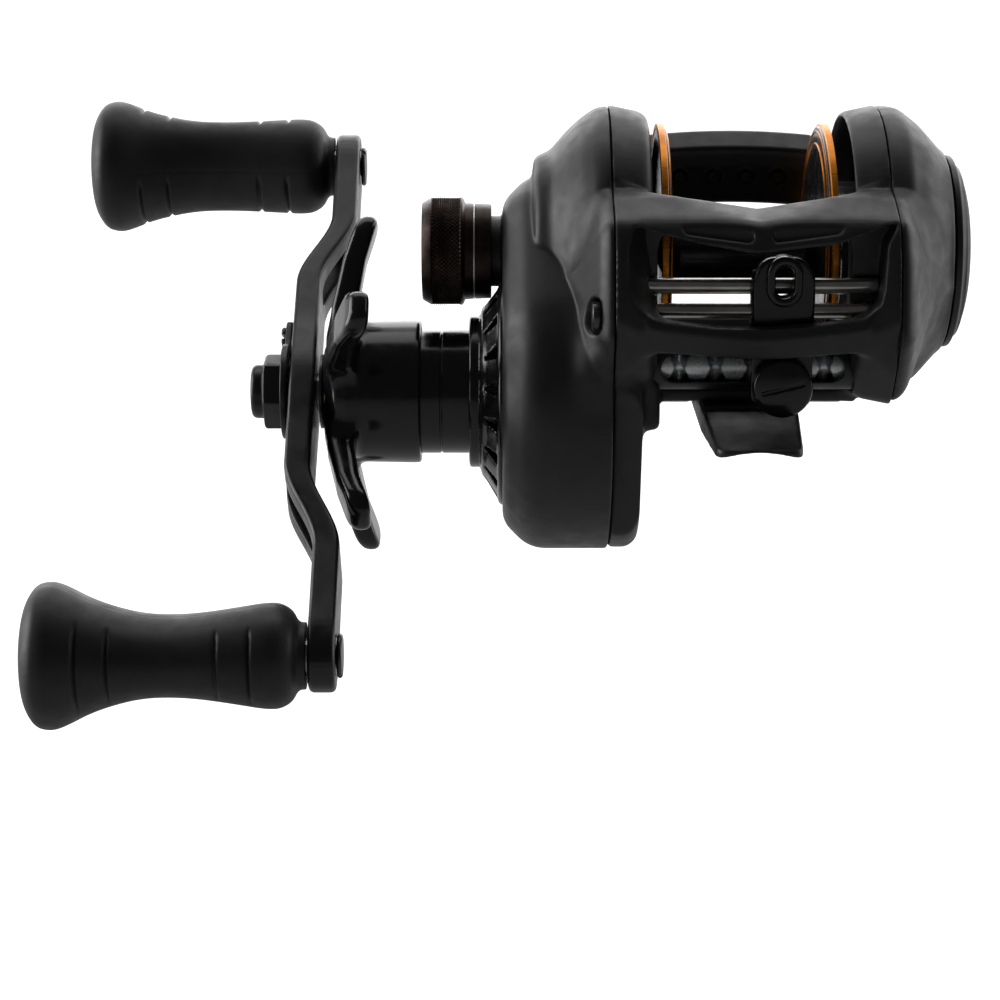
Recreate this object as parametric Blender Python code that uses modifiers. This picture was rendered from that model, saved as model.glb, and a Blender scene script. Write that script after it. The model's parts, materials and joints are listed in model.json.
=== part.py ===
"""Low-profile baitcasting reel, right-hand retrieve, built as separate pieces.

Frame: the origin is on the underside of the reel foot, below the spool axis. +Z is up, away from the
rod, -Y is the front, where the line leaves, and +X is the palm side, so the handle is at -X.
Every length below is in millimetres; MM turns it into metres when a mesh is made.
"""

import math

import bmesh
import bpy
from mathutils import Matrix, Vector

MM = 0.001

# Axes that run along X, as (y, z).
SPOOL_AXIS = (0.0, 21.0)
DRIVE_AXIS = (-5.3, 1.3)
WORM_AXIS = (-21.5, 8.7)

# Spool.
FLANGE_R = 19.5
FLANGE_X = 12.3
ARBOR_R = 5.2
SPOOL_SHAFT_R = 1.25

# Frame and covers.
PARTING_X = 19.2
WALL_X = 13.2
RING_R = 21.4
SPOOL_HOLE_R = 20.1
DRUM_R = 22.8
DRUM_FACE_X = -34.4
DRUM_SIDES = 32
RING_SIDES = 32
GAP = 0.3
# y, z and the plane that the head sits on.
COVER_SCREWS = {
    "cover_screw_front": (-27.3, 16.6, -21.3),
    "cover_screw_rear": (17.8, 26.4, -20.8),
}

# Foot: a saddle for a rod blank.
FOOT_SCREWS = {"front": -15.5, "rear": 14.0}
FOOT_LENGTH = (-38.0, 21.0)
FOOT_TOP = 2.55
FOOT_THICK = 3.8
SADDLE_R = 18.0
SADDLE_SIDES = 62

# Brake, clutch and star.
BRAKE_SHOES = 4
YOKE_POSTS = {"yoke_post_front": -1.0, "yoke_post_rear": 1.0}
BELL_NOTCHES = 12
STAR_ARMS = 5
STAR_TURN = math.radians(18)

# Gears.
PRESSURE_ANGLE = math.radians(20)
MAIN_TEETH = 62
PINION_TEETH = 10
WIND_TEETH = 34
WORM_TEETH = 12
BACKLASH = 0.16

# Handle.
ARM_HALF = 47.4
ARM_END_R = 5.2
ARM_TILT = math.radians(54.4)
ARM_THICK = 3.8
ARM_MID_X = -63.1
ARM_BEND = 4.65
ARM_BEND_FROM = 19.0
ARM_BEND_TO = 31.0
SHAFT_R = 3.0
STUD_R = 2.4
ARM_END_OUTER = ARM_MID_X + ARM_BEND - 0.5 * ARM_THICK
ARM_END_INNER = ARM_MID_X + ARM_BEND + 0.5 * ARM_THICK
KNOBS = {"upper": 1.0, "lower": -1.0}
KNOB_END_X = -98.3
POST_R = 2.5

# Line guide, worm and guide rods.
CARRIAGE_X = 3.7
CARRIAGE_HALF = 4.2
ROD_R = 1.1
RODS = {"upper": (-24.0, 20.2), "lower": (-25.0, 16.9)}
TUBE_R = 3.4
EYELET_Z = 21.4

# Local x, y, z of a turned or extruded piece become world Y, Z, X.
ALONG_X = Matrix(((0, 0, 1), (1, 0, 0), (0, 1, 0)))

BLACK_BODY = ((0.018, 0.018, 0.020), 0.55, 0.0)
BLACK_GLOSS = ((0.010, 0.010, 0.011), 0.16, 0.2)
BLACK_SOFT = ((0.012, 0.012, 0.013), 0.50, 0.0)
BLACK_METAL = ((0.016, 0.016, 0.017), 0.32, 0.7)
ORANGE = ((0.50, 0.15, 0.015), 0.28, 0.9)
BRONZE = ((0.050, 0.030, 0.024), 0.35, 0.9)
STEEL = ((0.55, 0.54, 0.52), 0.22, 1.0)
BRASS = ((0.60, 0.42, 0.18), 0.32, 1.0)
NYLON = ((0.60, 0.58, 0.52), 0.50, 0.0)
CARBON = ((0.030, 0.030, 0.030), 0.65, 0.0)


# ---------------------------------------------------------------- helpers


def clear_scene():
    for old in list(bpy.data.objects):
        bpy.data.objects.remove(old, do_unlink=True)


def new_collection(name):
    collection = bpy.data.collections.new(name)
    bpy.context.scene.collection.children.link(collection)
    return collection


def finish_material(obj, look):
    colour, roughness, metallic = look
    material = bpy.data.materials.new(obj.name)
    material.use_nodes = True
    shader = material.node_tree.nodes["Principled BSDF"]
    shader.inputs["Base Color"].default_value = (*colour, 1.0)
    shader.inputs["Roughness"].default_value = roughness
    shader.inputs["Metallic"].default_value = metallic
    material.diffuse_color = (*colour, 1.0)
    obj.data.materials.clear()
    obj.data.materials.append(material)


def part(obj, look, axis=None):
    """Make obj a piece of the reel, parented to the empty on its joint axis if it has one."""
    REEL.objects.link(obj)
    finish_material(obj, look)
    obj.data.shade_smooth()
    obj.data.set_sharp_from_angle(angle=math.radians(30))
    if axis is not None:
        bpy.context.view_layer.update()
        obj.parent = axis
        obj.matrix_parent_inverse = axis.matrix_world.inverted()
    return obj


def cutter(obj):
    CUTTERS.objects.link(obj)
    obj.hide_render = True
    obj.display_type = "WIRE"
    return obj


def joint_axis(name, x, yz):
    empty = bpy.data.objects.new(name, None)
    empty.location = (x * MM, yz[0] * MM, yz[1] * MM)
    empty.empty_display_size = 10 * MM
    GUIDES.objects.link(empty)
    return empty


def placed(name, mesh, yz=(0.0, 0.0), x=0.0):
    """An object whose local x, y, z lie along world Y, Z, X, with its origin at (x, y, z)."""
    obj = bpy.data.objects.new(name, mesh)
    obj.matrix_world = Matrix.Translation(Vector((x, *yz)) * MM) @ ALONG_X.to_4x4()
    return obj


def baked(obj):
    """The same object with its modifiers applied, so its points can be moved or its caps welded."""
    holder = bpy.context.scene.collection
    holder.objects.link(obj)
    bpy.context.view_layer.update()
    evaluated = obj.evaluated_get(bpy.context.evaluated_depsgraph_get())
    mesh = bpy.data.meshes.new_from_object(evaluated)
    matrix = obj.matrix_world.copy()
    name = obj.name
    bpy.data.objects.remove(obj)
    grid = bmesh.new()
    grid.from_mesh(mesh)
    bmesh.ops.remove_doubles(grid, verts=grid.verts, dist=1e-6)
    bmesh.ops.recalc_face_normals(grid, faces=grid.faces)
    grid.to_mesh(mesh)
    grid.free()
    result = bpy.data.objects.new(name, mesh)
    result.matrix_world = matrix
    return result


def turned(name, yz, profile, steps=20, hole=0.0):
    """A piece turned about an X axis. profile lists (x, radius) from the +X end down its outer side.

    hole is the radius of a bore right through it.
    """
    inner = max(hole, 0.0)
    points = [(profile[0][0], inner), *profile, (profile[-1][0], inner)]
    points = [p for i, p in enumerate(points) if i == 0 or p != points[i - 1]]
    mesh = bpy.data.meshes.new(name)
    edges = [(i, i + 1) for i in range(len(points) - 1)]
    if hole:
        edges.append((len(points) - 1, 0))
    mesh.from_pydata([(r * MM, 0.0, x * MM) for x, r in points], edges, [])
    obj = placed(name, mesh, yz)
    screw = obj.modifiers.new("turn", "SCREW")
    screw.steps = steps
    screw.render_steps = steps
    screw.use_merge_vertices = True
    screw.merge_threshold = 1e-6
    screw.use_normal_calculate = False
    return obj


def ring(name, yz, x0, x1, inner, outer, steps=20):
    return turned(name, yz, [(x1, outer), (x0, outer)], steps, inner)


def rod(name, yz, x0, x1, radius, steps=16):
    return turned(name, yz, [(x1, radius), (x0, radius)], steps)


def bore(name, yz, x0, x1, radius, steps=14):
    """A round cutter, turned a little so that its edges don't lie on those of the face it cuts."""
    obj = rod(name, yz, x0, x1, radius, steps)
    obj.matrix_world = obj.matrix_world @ Matrix.Rotation(0.05, 4, "Z")
    return obj


def filled(name, outlines, thick):
    """A curve that fills flat outlines of (x, y) points, thick across. A second outline is a hole."""
    curve = bpy.data.curves.new(name, "CURVE")
    curve.dimensions = "2D"
    curve.fill_mode = "BOTH"
    curve.extrude = 0.5 * thick * MM
    for outline in outlines:
        spline = curve.splines.new("POLY")
        spline.points.add(len(outline) - 1)
        for point, (x, y) in zip(spline.points, outline):
            point.co = (x * MM, y * MM, 0.0, 1.0)
        spline.use_cyclic_u = True
    return curve


def prism(name, outlines, x0, x1):
    """Flat outlines in the YZ plane, extruded from x0 to x1. A second outline is a hole."""
    return baked(placed(name, filled(name, outlines, abs(x1 - x0)), x=0.5 * (x0 + x1)))


def block(name, low, high):
    """A box between two corners."""
    mesh = bpy.data.meshes.new(name)
    grid = bmesh.new()
    bmesh.ops.create_cube(grid, size=1.0)
    size = Vector(high) - Vector(low)
    bmesh.ops.scale(grid, vec=size * MM, verts=grid.verts)
    grid.to_mesh(mesh)
    grid.free()
    obj = bpy.data.objects.new(name, mesh)
    obj.location = (Vector(low) + Vector(high)) * 0.5 * MM
    return obj


def boolean(obj, other, operation):
    cutter(other)
    modifier = obj.modifiers.new(other.name, "BOOLEAN")
    modifier.operation = operation
    modifier.object = other
    return obj


def cut(obj, *others):
    for other in others:
        boolean(obj, other, "DIFFERENCE")
    return obj


def join(obj, *others):
    for other in others:
        boolean(obj, other, "UNION")
    return obj


def bevel(obj, width, segments=1, angle=40):
    modifier = obj.modifiers.new("bevel", "BEVEL")
    modifier.width = width * MM
    modifier.segments = segments
    modifier.limit_method = "ANGLE"
    modifier.angle_limit = math.radians(angle)
    return obj


def circle(yz, radius, count, start=0.0):
    return [
        (
            yz[0] + radius * math.cos(start + math.tau * i / count),
            yz[1] + radius * math.sin(start + math.tau * i / count),
        )
        for i in range(count)
    ]


def arc(yz, radius, first, last, count):
    """Points on an arc in the YZ plane. Angles in degrees: 0 is the rear, 90 the top, 180 the front."""
    angles = [math.radians(first + (last - first) * i / (count - 1)) for i in range(count)]
    return [(yz[0] + radius * math.cos(a), yz[1] + radius * math.sin(a)) for a in angles]


def involute(angle):
    return math.tan(angle) - angle


def gear_outline(yz, teeth, module, phase=0.0, flank_steps=2):
    """An involute spur gear with shortened teeth, thinned by half the backlash on each gear."""
    pitch_r = 0.5 * module * teeth
    base_r = pitch_r * math.cos(PRESSURE_ANGLE)
    tip_r = pitch_r + 0.8 * module
    root_r = pitch_r - 1.1 * module
    half_tooth = 0.5 * math.pi / teeth - 0.25 * BACKLASH / pitch_r
    flank_from = max(base_r, root_r)
    flank = []
    for i in range(flank_steps):
        radius = flank_from + (tip_r - flank_from) * i / (flank_steps - 1)
        turn = involute(PRESSURE_ANGLE) - involute(math.acos(min(1.0, base_r / radius)))
        flank.append((radius, half_tooth + turn))
    if root_r < base_r:
        flank.insert(0, (root_r, flank[0][1] + 0.10 / teeth))
    points = []
    for tooth in range(teeth):
        middle = phase + math.tau * tooth / teeth
        for radius, half in flank:
            points.append((radius, middle - half))
        for radius, half in reversed(flank):
            points.append((radius, middle + half))
    return [(yz[0] + r * math.cos(a), yz[1] + r * math.sin(a)) for r, a in points]


def gear_pair(driver, driven, driver_teeth, driven_teeth):
    """Module and tooth phases for two gears on given axes that are in mesh at rest."""
    reach = Vector(driven) - Vector(driver)
    module = 2.0 * reach.length / (driver_teeth + driven_teeth)
    towards = math.atan2(reach.y, reach.x)
    return module, towards, towards + math.pi + math.pi / driven_teeth


# ---------------------------------------------------------------- frame


def nose_outline(grow=0.0):
    """The side walls' outline seen from the side, from the top of the ring round to the bottom."""
    crown = arc(SPOOL_AXIS, RING_R + grow, 80, 152, 9)
    front = [
        (-27.4 - grow, 27.2 + grow),
        (-30.8 - grow, 18.4),
        (-31.6 - grow, 13.6),
        (-30.2 - grow, 11.2 - grow),
        (-24.6 - grow, 3.6 - grow),
    ]
    bottom = [(-18.0, 2.9 - grow), (12.0, 2.9 - grow)]
    rear = arc(SPOOL_AXIS, RING_R + grow, -40, 76, 12)
    return crown + front + bottom + rear


def make_frame():
    """One casting: two side walls, the hood, the lower bar, the bed and the rear bridge."""
    left = -PARTING_X + 0.5 * GAP
    right = PARTING_X - 0.5 * GAP
    inner = WALL_X + 0.3
    frame = prism("frame", [nose_outline()], left, -WALL_X)
    drum = rod("frame_drum", DRIVE_AXIS, left, -WALL_X - 1.4, DRUM_R - 0.2, DRUM_SIDES)
    palm_wall = prism("frame_palm_wall", [nose_outline()], WALL_X, right)
    hood = prism(
        "frame_hood",
        [[(-19.6, 31.6), (-26.9, 27.8), (-28.6, 25.9), (-26.4, 25.0), (-20.9, 28.4)]],
        -inner,
        inner,
    )
    lower_bar = prism(
        "frame_lower_bar",
        [[(-28.3, 17.0), (-30.4, 17.4), (-31.5, 13.4), (-30.1, 11.4), (-28.1, 12.4)]],
        -inner,
        inner,
    )
    bed = block("frame_bed", (-inner, -19.6, 2.9), (inner, 17.5, 5.0))
    cradle = prism(
        "frame_cradle",
        [arc(SPOOL_AXIS, RING_R + 0.5, -130, -50, 13)],
        -inner,
        inner,
    )
    bridge = prism(
        "frame_bridge",
        [[(15.0, 3.4), (17.6, 4.0), (20.3, 8.2), (18.7, 9.4), (15.6, 5.4)]],
        -inner,
        inner,
    )
    join(frame, drum, palm_wall, hood, lower_bar, bed, cradle, bridge)
    cut(
        frame,
        bore("cut_spool_space", SPOOL_AXIS, -WALL_X, 22.0, SPOOL_HOLE_R, RING_SIDES),
        block("cut_foot_pocket", (-7.1, -24.0, -2.0), (7.1, 24.0, 2.85)),
        bore("cut_pinion_bore", SPOOL_AXIS, -22.0, -12.0, 5.3, 32),
        bore("cut_drive_bore", DRIVE_AXIS, -22.0, -12.0, 4.9),
        bore("cut_worm_bore", WORM_AXIS, -22.0, 17.4, TUBE_R + GAP),
    )
    for name, yz in RODS.items():
        cut(frame, bore(f"cut_rod_{name}", yz, -17.2, 17.2, ROD_R + GAP, 16))
    for name, y in FOOT_SCREWS.items():
        hole = upright(f"cut_foot_thread_{name}", (0.0, y), 2.0, 6.0, 1.25)
        cut(frame, hole)
    for name, (y, z, _) in COVER_SCREWS.items():
        cut(frame, bore(f"cut_thread_{name}", (y, z), -24.0, -17.0, 1.4))
    return part(frame, BLACK_BODY)


# ---------------------------------------------------------------- foot


def upright(name, xy, z0, z1, radius, steps=16, head=None):
    """A pin or screw along Z. head is (height, radius) of a wider lower end."""
    mesh = bpy.data.meshes.new(name)
    outer = [(radius, z1), (radius, z0)]
    if head:
        height, wide = head
        outer = [(radius, z1), (radius, z0 + height), (wide, z0)]
    points = [(0.0, z1), *outer, (0.0, z0)]
    edges = [(i, i + 1) for i in range(len(points) - 1)]
    mesh.from_pydata([(r * MM, 0.0, z * MM) for r, z in points], edges, [])
    obj = bpy.data.objects.new(name, mesh)
    obj.location = (xy[0] * MM, xy[1] * MM, 0.0)
    screw = obj.modifiers.new("turn", "SCREW")
    screw.steps = steps
    screw.render_steps = steps
    screw.use_merge_vertices = True
    screw.merge_threshold = 1e-6
    return obj


def make_foot():
    """The saddle that a rod's reel seat clamps, hollowed underneath to sit on a round blank."""
    front, rear = FOOT_LENGTH
    right = [(5.8, front), (6.7, -22.0), (6.7, 12.0), (5.6, rear)]
    left = [(-x, y) for x, y in reversed(right)]
    foot = bpy.data.objects.new("reel_foot", filled("reel_foot", [right + left], FOOT_THICK))
    foot.location = (0.0, 0.0, (FOOT_TOP - 0.5 * FOOT_THICK) * MM)
    foot = baked(foot)
    mesh = bpy.data.meshes.new("cut_saddle")
    grid = bmesh.new()
    bmesh.ops.create_cone(
        grid,
        cap_ends=True,
        segments=SADDLE_SIDES,
        radius1=SADDLE_R * MM / math.cos(math.pi / SADDLE_SIDES),
        radius2=SADDLE_R * MM / math.cos(math.pi / SADDLE_SIDES),
        depth=80 * MM,
    )
    grid.to_mesh(mesh)
    grid.free()
    saddle = bpy.data.objects.new("cut_saddle", mesh)
    # The half step turns one of its flats up, so that the seat's crown is a flat strip.
    half_step = Matrix.Rotation(math.pi / SADDLE_SIDES, 4, "Z")
    lie = Matrix.Rotation(math.radians(90), 4, "X")
    saddle.matrix_world = Matrix.Translation((0, 0, -SADDLE_R * MM)) @ lie @ half_step
    cut(foot, saddle)
    for name, y in FOOT_SCREWS.items():
        hole = upright(f"cut_foot_{name}", (0.0, y), -1.0, 4.0, 1.6, head=(2.6, 3.6))
        cut(foot, hole)
        screw = upright(f"foot_screw_{name}", (0.0, y), 0.35, 4.7, 1.0, head=(1.2, 1.9))
        part(screw, STEEL)
    return part(foot, BLACK_BODY)


# ---------------------------------------------------------------- covers


def make_gear_side_cover():
    """The shell over the gears: a drum about the drive shaft and a shoulder about the spool axis."""
    rim = -PARTING_X - 0.5 * GAP
    past = rim + 2.0
    cover = turned(
        "gear_side_cover",
        DRIVE_AXIS,
        [(past, DRUM_R), (-30.0, DRUM_R), (DRUM_FACE_X, 18.5)],
        DRUM_SIDES,
    )
    shoulder = turned(
        "cover_shoulder",
        SPOOL_AXIS,
        [
            (past + 1.2, RING_R),
            (-22.5, 20.5),
            (-24.6, 18.3),
            (-25.8, 16.4),
            (-29.8, 13.5),
            (-30.4, 11.0),
            (-33.0, 8.6),
            (-33.8, 5.6),
        ],
        RING_SIDES,
    )
    nose = prism("cover_nose", [nose_outline(-0.2)], -22.4, past + 0.8)
    worm_bulge = rod("cover_worm_bulge", WORM_AXIS, -23.9, past + 0.4, 7.2, 24)
    knob_neck = rod("cover_knob_neck", SPOOL_AXIS, -41.8, -30.0, 5.2, 20)
    join(cover, shoulder, nose, worm_bulge, knob_neck)
    hollow_nose = prism("hollow_nose", [nose_outline(-1.7)], -20.9, -13.0)
    hollow_drum = turned(
        "hollow_drum",
        DRIVE_AXIS,
        [(-15.0, 21.3), (-29.3, 21.3), (-32.7, 17.8)],
        DRUM_SIDES - 4,
    )
    hollow_shoulder = turned(
        "hollow_shoulder",
        SPOOL_AXIS,
        [
            (-14.0, 19.8),
            (-21.6, 19.0),
            (-23.6, 16.9),
            (-24.8, 14.9),
            (-28.6, 12.0),
            (-29.2, 9.6),
            (-32.3, 6.9),
            (-32.5, 4.0),
        ],
        RING_SIDES - 4,
    )
    hollow_worm = rod("hollow_worm", WORM_AXIS, -23.0, -12.0, 5.8, 24)
    neck_bore = bore("cut_neck_bore", SPOOL_AXIS, -45.0, -30.0, 3.2, 16)
    sleeve_bore = bore("cut_sleeve_bore", DRIVE_AXIS, -40.0, -30.0, 5.2, 20)
    cut(cover, hollow_drum, hollow_shoulder, hollow_nose, hollow_worm, neck_bore, sleeve_bore)
    cut(cover, block("cut_gear_side_rim", (rim, -60.0, -60.0), (rim + 10.0, 60.0, 60.0)))
    for name, (y, z, x0) in COVER_SCREWS.items():
        recess = [(-17.0, 1.5), (x0, 1.5), (x0, 2.5), (x0 - 8.0, 2.5)]
        cut(cover, turned(f"cut_{name}", (y, z), recess, 14))
        screw = turned(
            name, (y, z), [(x0 + 3.0, 1.1), (x0 - 0.2, 1.1), (x0 - 0.2, 2.1), (x0 - 1.6, 2.1)], 16
        )
        part(screw, STEEL)
    return part(cover, BLACK_BODY)


def make_palm_side_cover():
    """The dish that the palm holds, with a stepped cap at its crown."""
    rim = PARTING_X + 0.5 * GAP
    cover = turned(
        "palm_side_cover",
        SPOOL_AXIS,
        [(29.0, 14.9), (25.0, 19.2), (21.8, 20.9), (rim - 2.0, RING_R)],
        RING_SIDES,
    )
    nose = prism("palm_nose", [nose_outline(-0.2)], rim - 2.6, 21.6)
    join(cover, nose)
    hollow_nose = prism("hollow_palm_nose", [nose_outline(-1.7)], 14.0, 20.5)
    hollow = turned(
        "hollow_palm",
        SPOOL_AXIS,
        [(28.1, 13.2), (24.0, 17.7), (21.2, 19.2), (16.0, 19.6)],
        RING_SIDES,
    )
    cut(cover, hollow_nose, hollow)
    cut(cover, block("cut_palm_rim", (rim - 10.0, -60.0, -60.0), (rim, 60.0, 60.0)))
    part(cover, BLACK_BODY)
    cap = turned(
        "palm_cap",
        SPOOL_AXIS,
        [
            (32.2, 9.2),
            (31.6, 10.6),
            (31.4, 11.6),
            (30.7, 12.2),
            (30.5, 13.3),
            (29.3, 13.9),
        ],
        32,
    )
    part(cap, BLACK_BODY)


# ---------------------------------------------------------------- spool and brake


def make_spool(axis):
    spool = turned(
        "spool",
        SPOOL_AXIS,
        [
            (11.5, 17.8),
            (FLANGE_X, 17.9),
            (FLANGE_X, FLANGE_R),
            (11.1, FLANGE_R),
            (10.6, 6.6),
            (9.0, ARBOR_R),
            (-9.0, ARBOR_R),
            (-10.6, 6.6),
            (-11.1, FLANGE_R),
            (-FLANGE_X, FLANGE_R),
            (-FLANGE_X, 17.9),
            (-11.5, 17.8),
        ],
        RING_SIDES,
        SPOOL_SHAFT_R + GAP,
    )
    part(spool, ORANGE, axis)
    shaft = rod("spool_shaft", SPOOL_AXIS, -43.2, 25.6, SPOOL_SHAFT_R, 16)
    part(shaft, STEEL, axis)
    pin = upright("clutch_cross_pin", (-22.8, 0.0), -2.9, 2.9, 0.55, 10)
    pin.location.z = SPOOL_AXIS[1] * MM
    join(shaft, pin)
    hub = ring("brake_hub", SPOOL_AXIS, 14.0, 16.2, SPOOL_SHAFT_R + GAP, 3.4, 24)
    for number in range(BRAKE_SHOES):
        arm = radial_block(f"brake_arm_{number + 1}", number, (14.6, 15.6), (2.8, 7.9), 0.5)
        join(hub, arm)
    part(hub, NYLON, axis)


def radial_block(name, number, span_x, span_r, half_width):
    """A bar on the brake hub's spoke of that number, standing out from the spool axis."""
    obj = block(name, (span_x[0], -half_width, span_r[0]), (span_x[1], half_width, span_r[1]))
    turn = Matrix.Rotation(-math.tau * number / BRAKE_SHOES, 4, "X")
    centre = Matrix.Translation((0.0, SPOOL_AXIS[0] * MM, SPOOL_AXIS[1] * MM))
    obj.matrix_world = centre @ turn @ Matrix.Translation(obj.location)
    return obj


def make_brake(axes):
    """Blocks that slide out along the hub's arms and rub on the fixed drum."""
    for number, axis in enumerate(axes):
        shoe = radial_block(f"brake_shoe_{number + 1}", number, (13.9, 16.3), (5.4, 7.7), 1.3)
        slot = radial_block(f"cut_shoe_{number + 1}", number, (14.4, 15.8), (4.0, 9.0), 0.7)
        cut(shoe, slot)
        part(shoe, NYLON, axis)
    drum = turned(
        "brake_drum",
        SPOOL_AXIS,
        [(27.6, 10.1), (13.7, 10.1), (13.7, 9.0), (22.0, 9.0), (22.0, 4.4), (25.8, 4.4), (25.8, 1.6)],
        28,
    )
    part(drum, STEEL)


def make_bearings():
    bearings = {
        "spool_bearing_gear_side": (SPOOL_AXIS, -17.4, -14.6, SPOOL_SHAFT_R + GAP, 5.0),
        "spool_bearing_palm_side": (SPOOL_AXIS, 22.3, 24.9, SPOOL_SHAFT_R + GAP, 4.1),
        "drive_shaft_bearing": (DRIVE_AXIS, -18.4, -15.6, 2.3, 4.6),
        "worm_bushing_gear_side": (WORM_AXIS, -18.6, -15.6, 1.6, 3.4),
        "worm_bushing_palm_side": (WORM_AXIS, 15.6, 17.1, 1.6, 3.4),
        "anti_reverse_clutch": (DRIVE_AXIS, -44.4, -36.4, 4.9, 7.2),
    }
    for name, (yz, x0, x1, inner, outer) in bearings.items():
        part(ring(name, yz, x0, x1, inner, outer, 16), STEEL)


# ---------------------------------------------------------------- gears, clutch


def make_gear(name, outline, yz, x0, x1, bore_r):
    return prism(name, [outline, circle(yz, bore_r, 16)], x0, x1)


def make_drive(handle, pinion_axis, worm_axis):
    """The main pair turns the spool, and the smaller pair turns the worm that leads the line."""
    module, main_phase, pinion_phase = gear_pair(DRIVE_AXIS, SPOOL_AXIS, MAIN_TEETH, PINION_TEETH)
    main = gear_outline(DRIVE_AXIS, MAIN_TEETH, module, main_phase)
    part(make_gear("main_gear", main, DRIVE_AXIS, -30.0, -27.4, SHAFT_R + GAP), BRASS, handle)
    teeth = gear_outline(SPOOL_AXIS, PINION_TEETH, module, pinion_phase, flank_steps=3)
    pinion = prism("pinion", [teeth], -30.5, -25.0)
    neck = rod("pinion_neck", SPOOL_AXIS, -25.2, -23.2, 2.1, 16)
    collar = rod("pinion_collar", SPOOL_AXIS, -23.5, -21.6, 3.5, 20)
    join(pinion, neck, collar)
    through = bore("cut_pinion_bore_through", SPOOL_AXIS, -35.0, -18.0, SPOOL_SHAFT_R + GAP, 12)
    slot = block("cut_pinion_slot", (-23.65, -0.9, 15.0), (-21.0, 0.9, 27.0))
    cut(pinion, through, slot)
    part(pinion, BRASS, pinion_axis)
    module, wind_phase, worm_phase = gear_pair(DRIVE_AXIS, WORM_AXIS, WIND_TEETH, WORM_TEETH)
    wind = gear_outline(DRIVE_AXIS, WIND_TEETH, module, wind_phase)
    wind_gear = make_gear("level_wind_drive_gear", wind, DRIVE_AXIS, -21.9, -20.2, SHAFT_R + GAP)
    part(wind_gear, NYLON, handle)
    small = gear_outline(WORM_AXIS, WORM_TEETH, module, worm_phase)
    worm_gear = make_gear("worm_gear", small, WORM_AXIS, -21.9, -20.2, 1.3 + GAP)
    part(worm_gear, NYLON, worm_axis)


def make_clutch(cam_axis, yoke_axis):
    """The cam ring lifts the yoke, which draws the pinion off the cross pin and frees the spool."""
    y, z = SPOOL_AXIS
    yoke = prism(
        "clutch_yoke",
        [
            [
                (y - 10.4, z + 4.2),
                (y - 10.4, z - 2.0),
                (y - 5.0, z - 2.0),
                (y - 2.5, z - 1.0),
                *arc(SPOOL_AXIS, 2.5, 170, 10, 9),
                (y + 2.5, z - 1.0),
                (y + 5.0, z - 2.0),
                (y + 10.4, z - 2.0),
                (y + 10.4, z + 4.2),
            ]
        ],
        -24.6,
        -23.9,
    )
    for name, side in YOKE_POSTS.items():
        post_yz = (y + 8.2 * side, z + 1.0)
        cut(yoke, bore(f"cut_{name}", post_yz, -30.0, -20.0, 1.2))
        part(rod(name, post_yz, -28.2, -19.3, 0.9, 12), STEEL)
    part(yoke, NYLON, yoke_axis)
    cam = ring("clutch_cam", SPOOL_AXIS, -23.2, -22.3, 4.0, 6.0, 28)
    lever_outline = arc(SPOOL_AXIS, 4.8, 74, 44, 4) + arc(SPOOL_AXIS, 13.5, 54, 66, 3)
    lever = prism("cam_lever", [lever_outline], -23.2, -22.3)
    join(cam, lever)
    part(cam, STEEL, cam_axis)


# ---------------------------------------------------------------- drive shaft, drag, handle


def make_drive_shaft(handle):
    shaft = turned(
        "drive_shaft",
        DRIVE_AXIS,
        [
            (-14.8, 2.0),
            (-19.4, 2.0),
            (-19.4, SHAFT_R),
            (-60.9, SHAFT_R),
            (-60.9, STUD_R),
            (-70.3, STUD_R),
        ],
        20,
    )
    part(shaft, STEEL, handle)
    rings = {
        "drag_washer": (-31.2, -30.3, SHAFT_R + GAP, 14.6, CARBON),
        "drag_pressure_plate": (-32.2, -31.5, SHAFT_R + GAP, 13.6, STEEL),
        "clutch_sleeve": (-46.2, -32.5, SHAFT_R + GAP, 4.6, STEEL),
        "drag_spring_washer": (-47.6, -46.5, SHAFT_R + GAP, 5.6, STEEL),
        "handle_spring_washer": (-60.8, -59.8, SHAFT_R + GAP, 5.3, BRASS),
    }
    for name, (x0, x1, inner, outer, look) in rings.items():
        part(ring(name, DRIVE_AXIS, x0, x1, inner, outer, 20), look, handle)


def make_tower():
    """The tube that houses the one-way clutch, and the notched bell at its foot."""
    tower = ring("clutch_tower", DRIVE_AXIS, -47.0, -34.7, 7.5, 8.95, 28)
    part(tower, BLACK_GLOSS)
    bell = turned(
        "tower_bell",
        DRIVE_AXIS,
        [(-34.7, 17.0), (-35.5, 15.4), (-37.4, 11.6), (-37.7, 10.7), (-39.2, 10.7)],
        32,
        9.25,
    )
    for number in range(BELL_NOTCHES):
        notch = block(f"cut_notch_{number}", (-36.6, 12.6, -0.7), (-33.9, 19.0, 0.7))
        turn = Matrix.Rotation(math.tau * (number + 0.5) / BELL_NOTCHES, 4, "X")
        centre = Matrix.Translation((0.0, DRIVE_AXIS[0] * MM, DRIVE_AXIS[1] * MM))
        notch.matrix_world = centre @ turn @ Matrix.Translation(notch.location)
        cut(bell, notch)
    cut(bell, bore("cut_bell_by_knob", SPOOL_AXIS, -50.0, -30.0, 8.1, 32))
    part(bell, BLACK_GLOSS)


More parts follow.
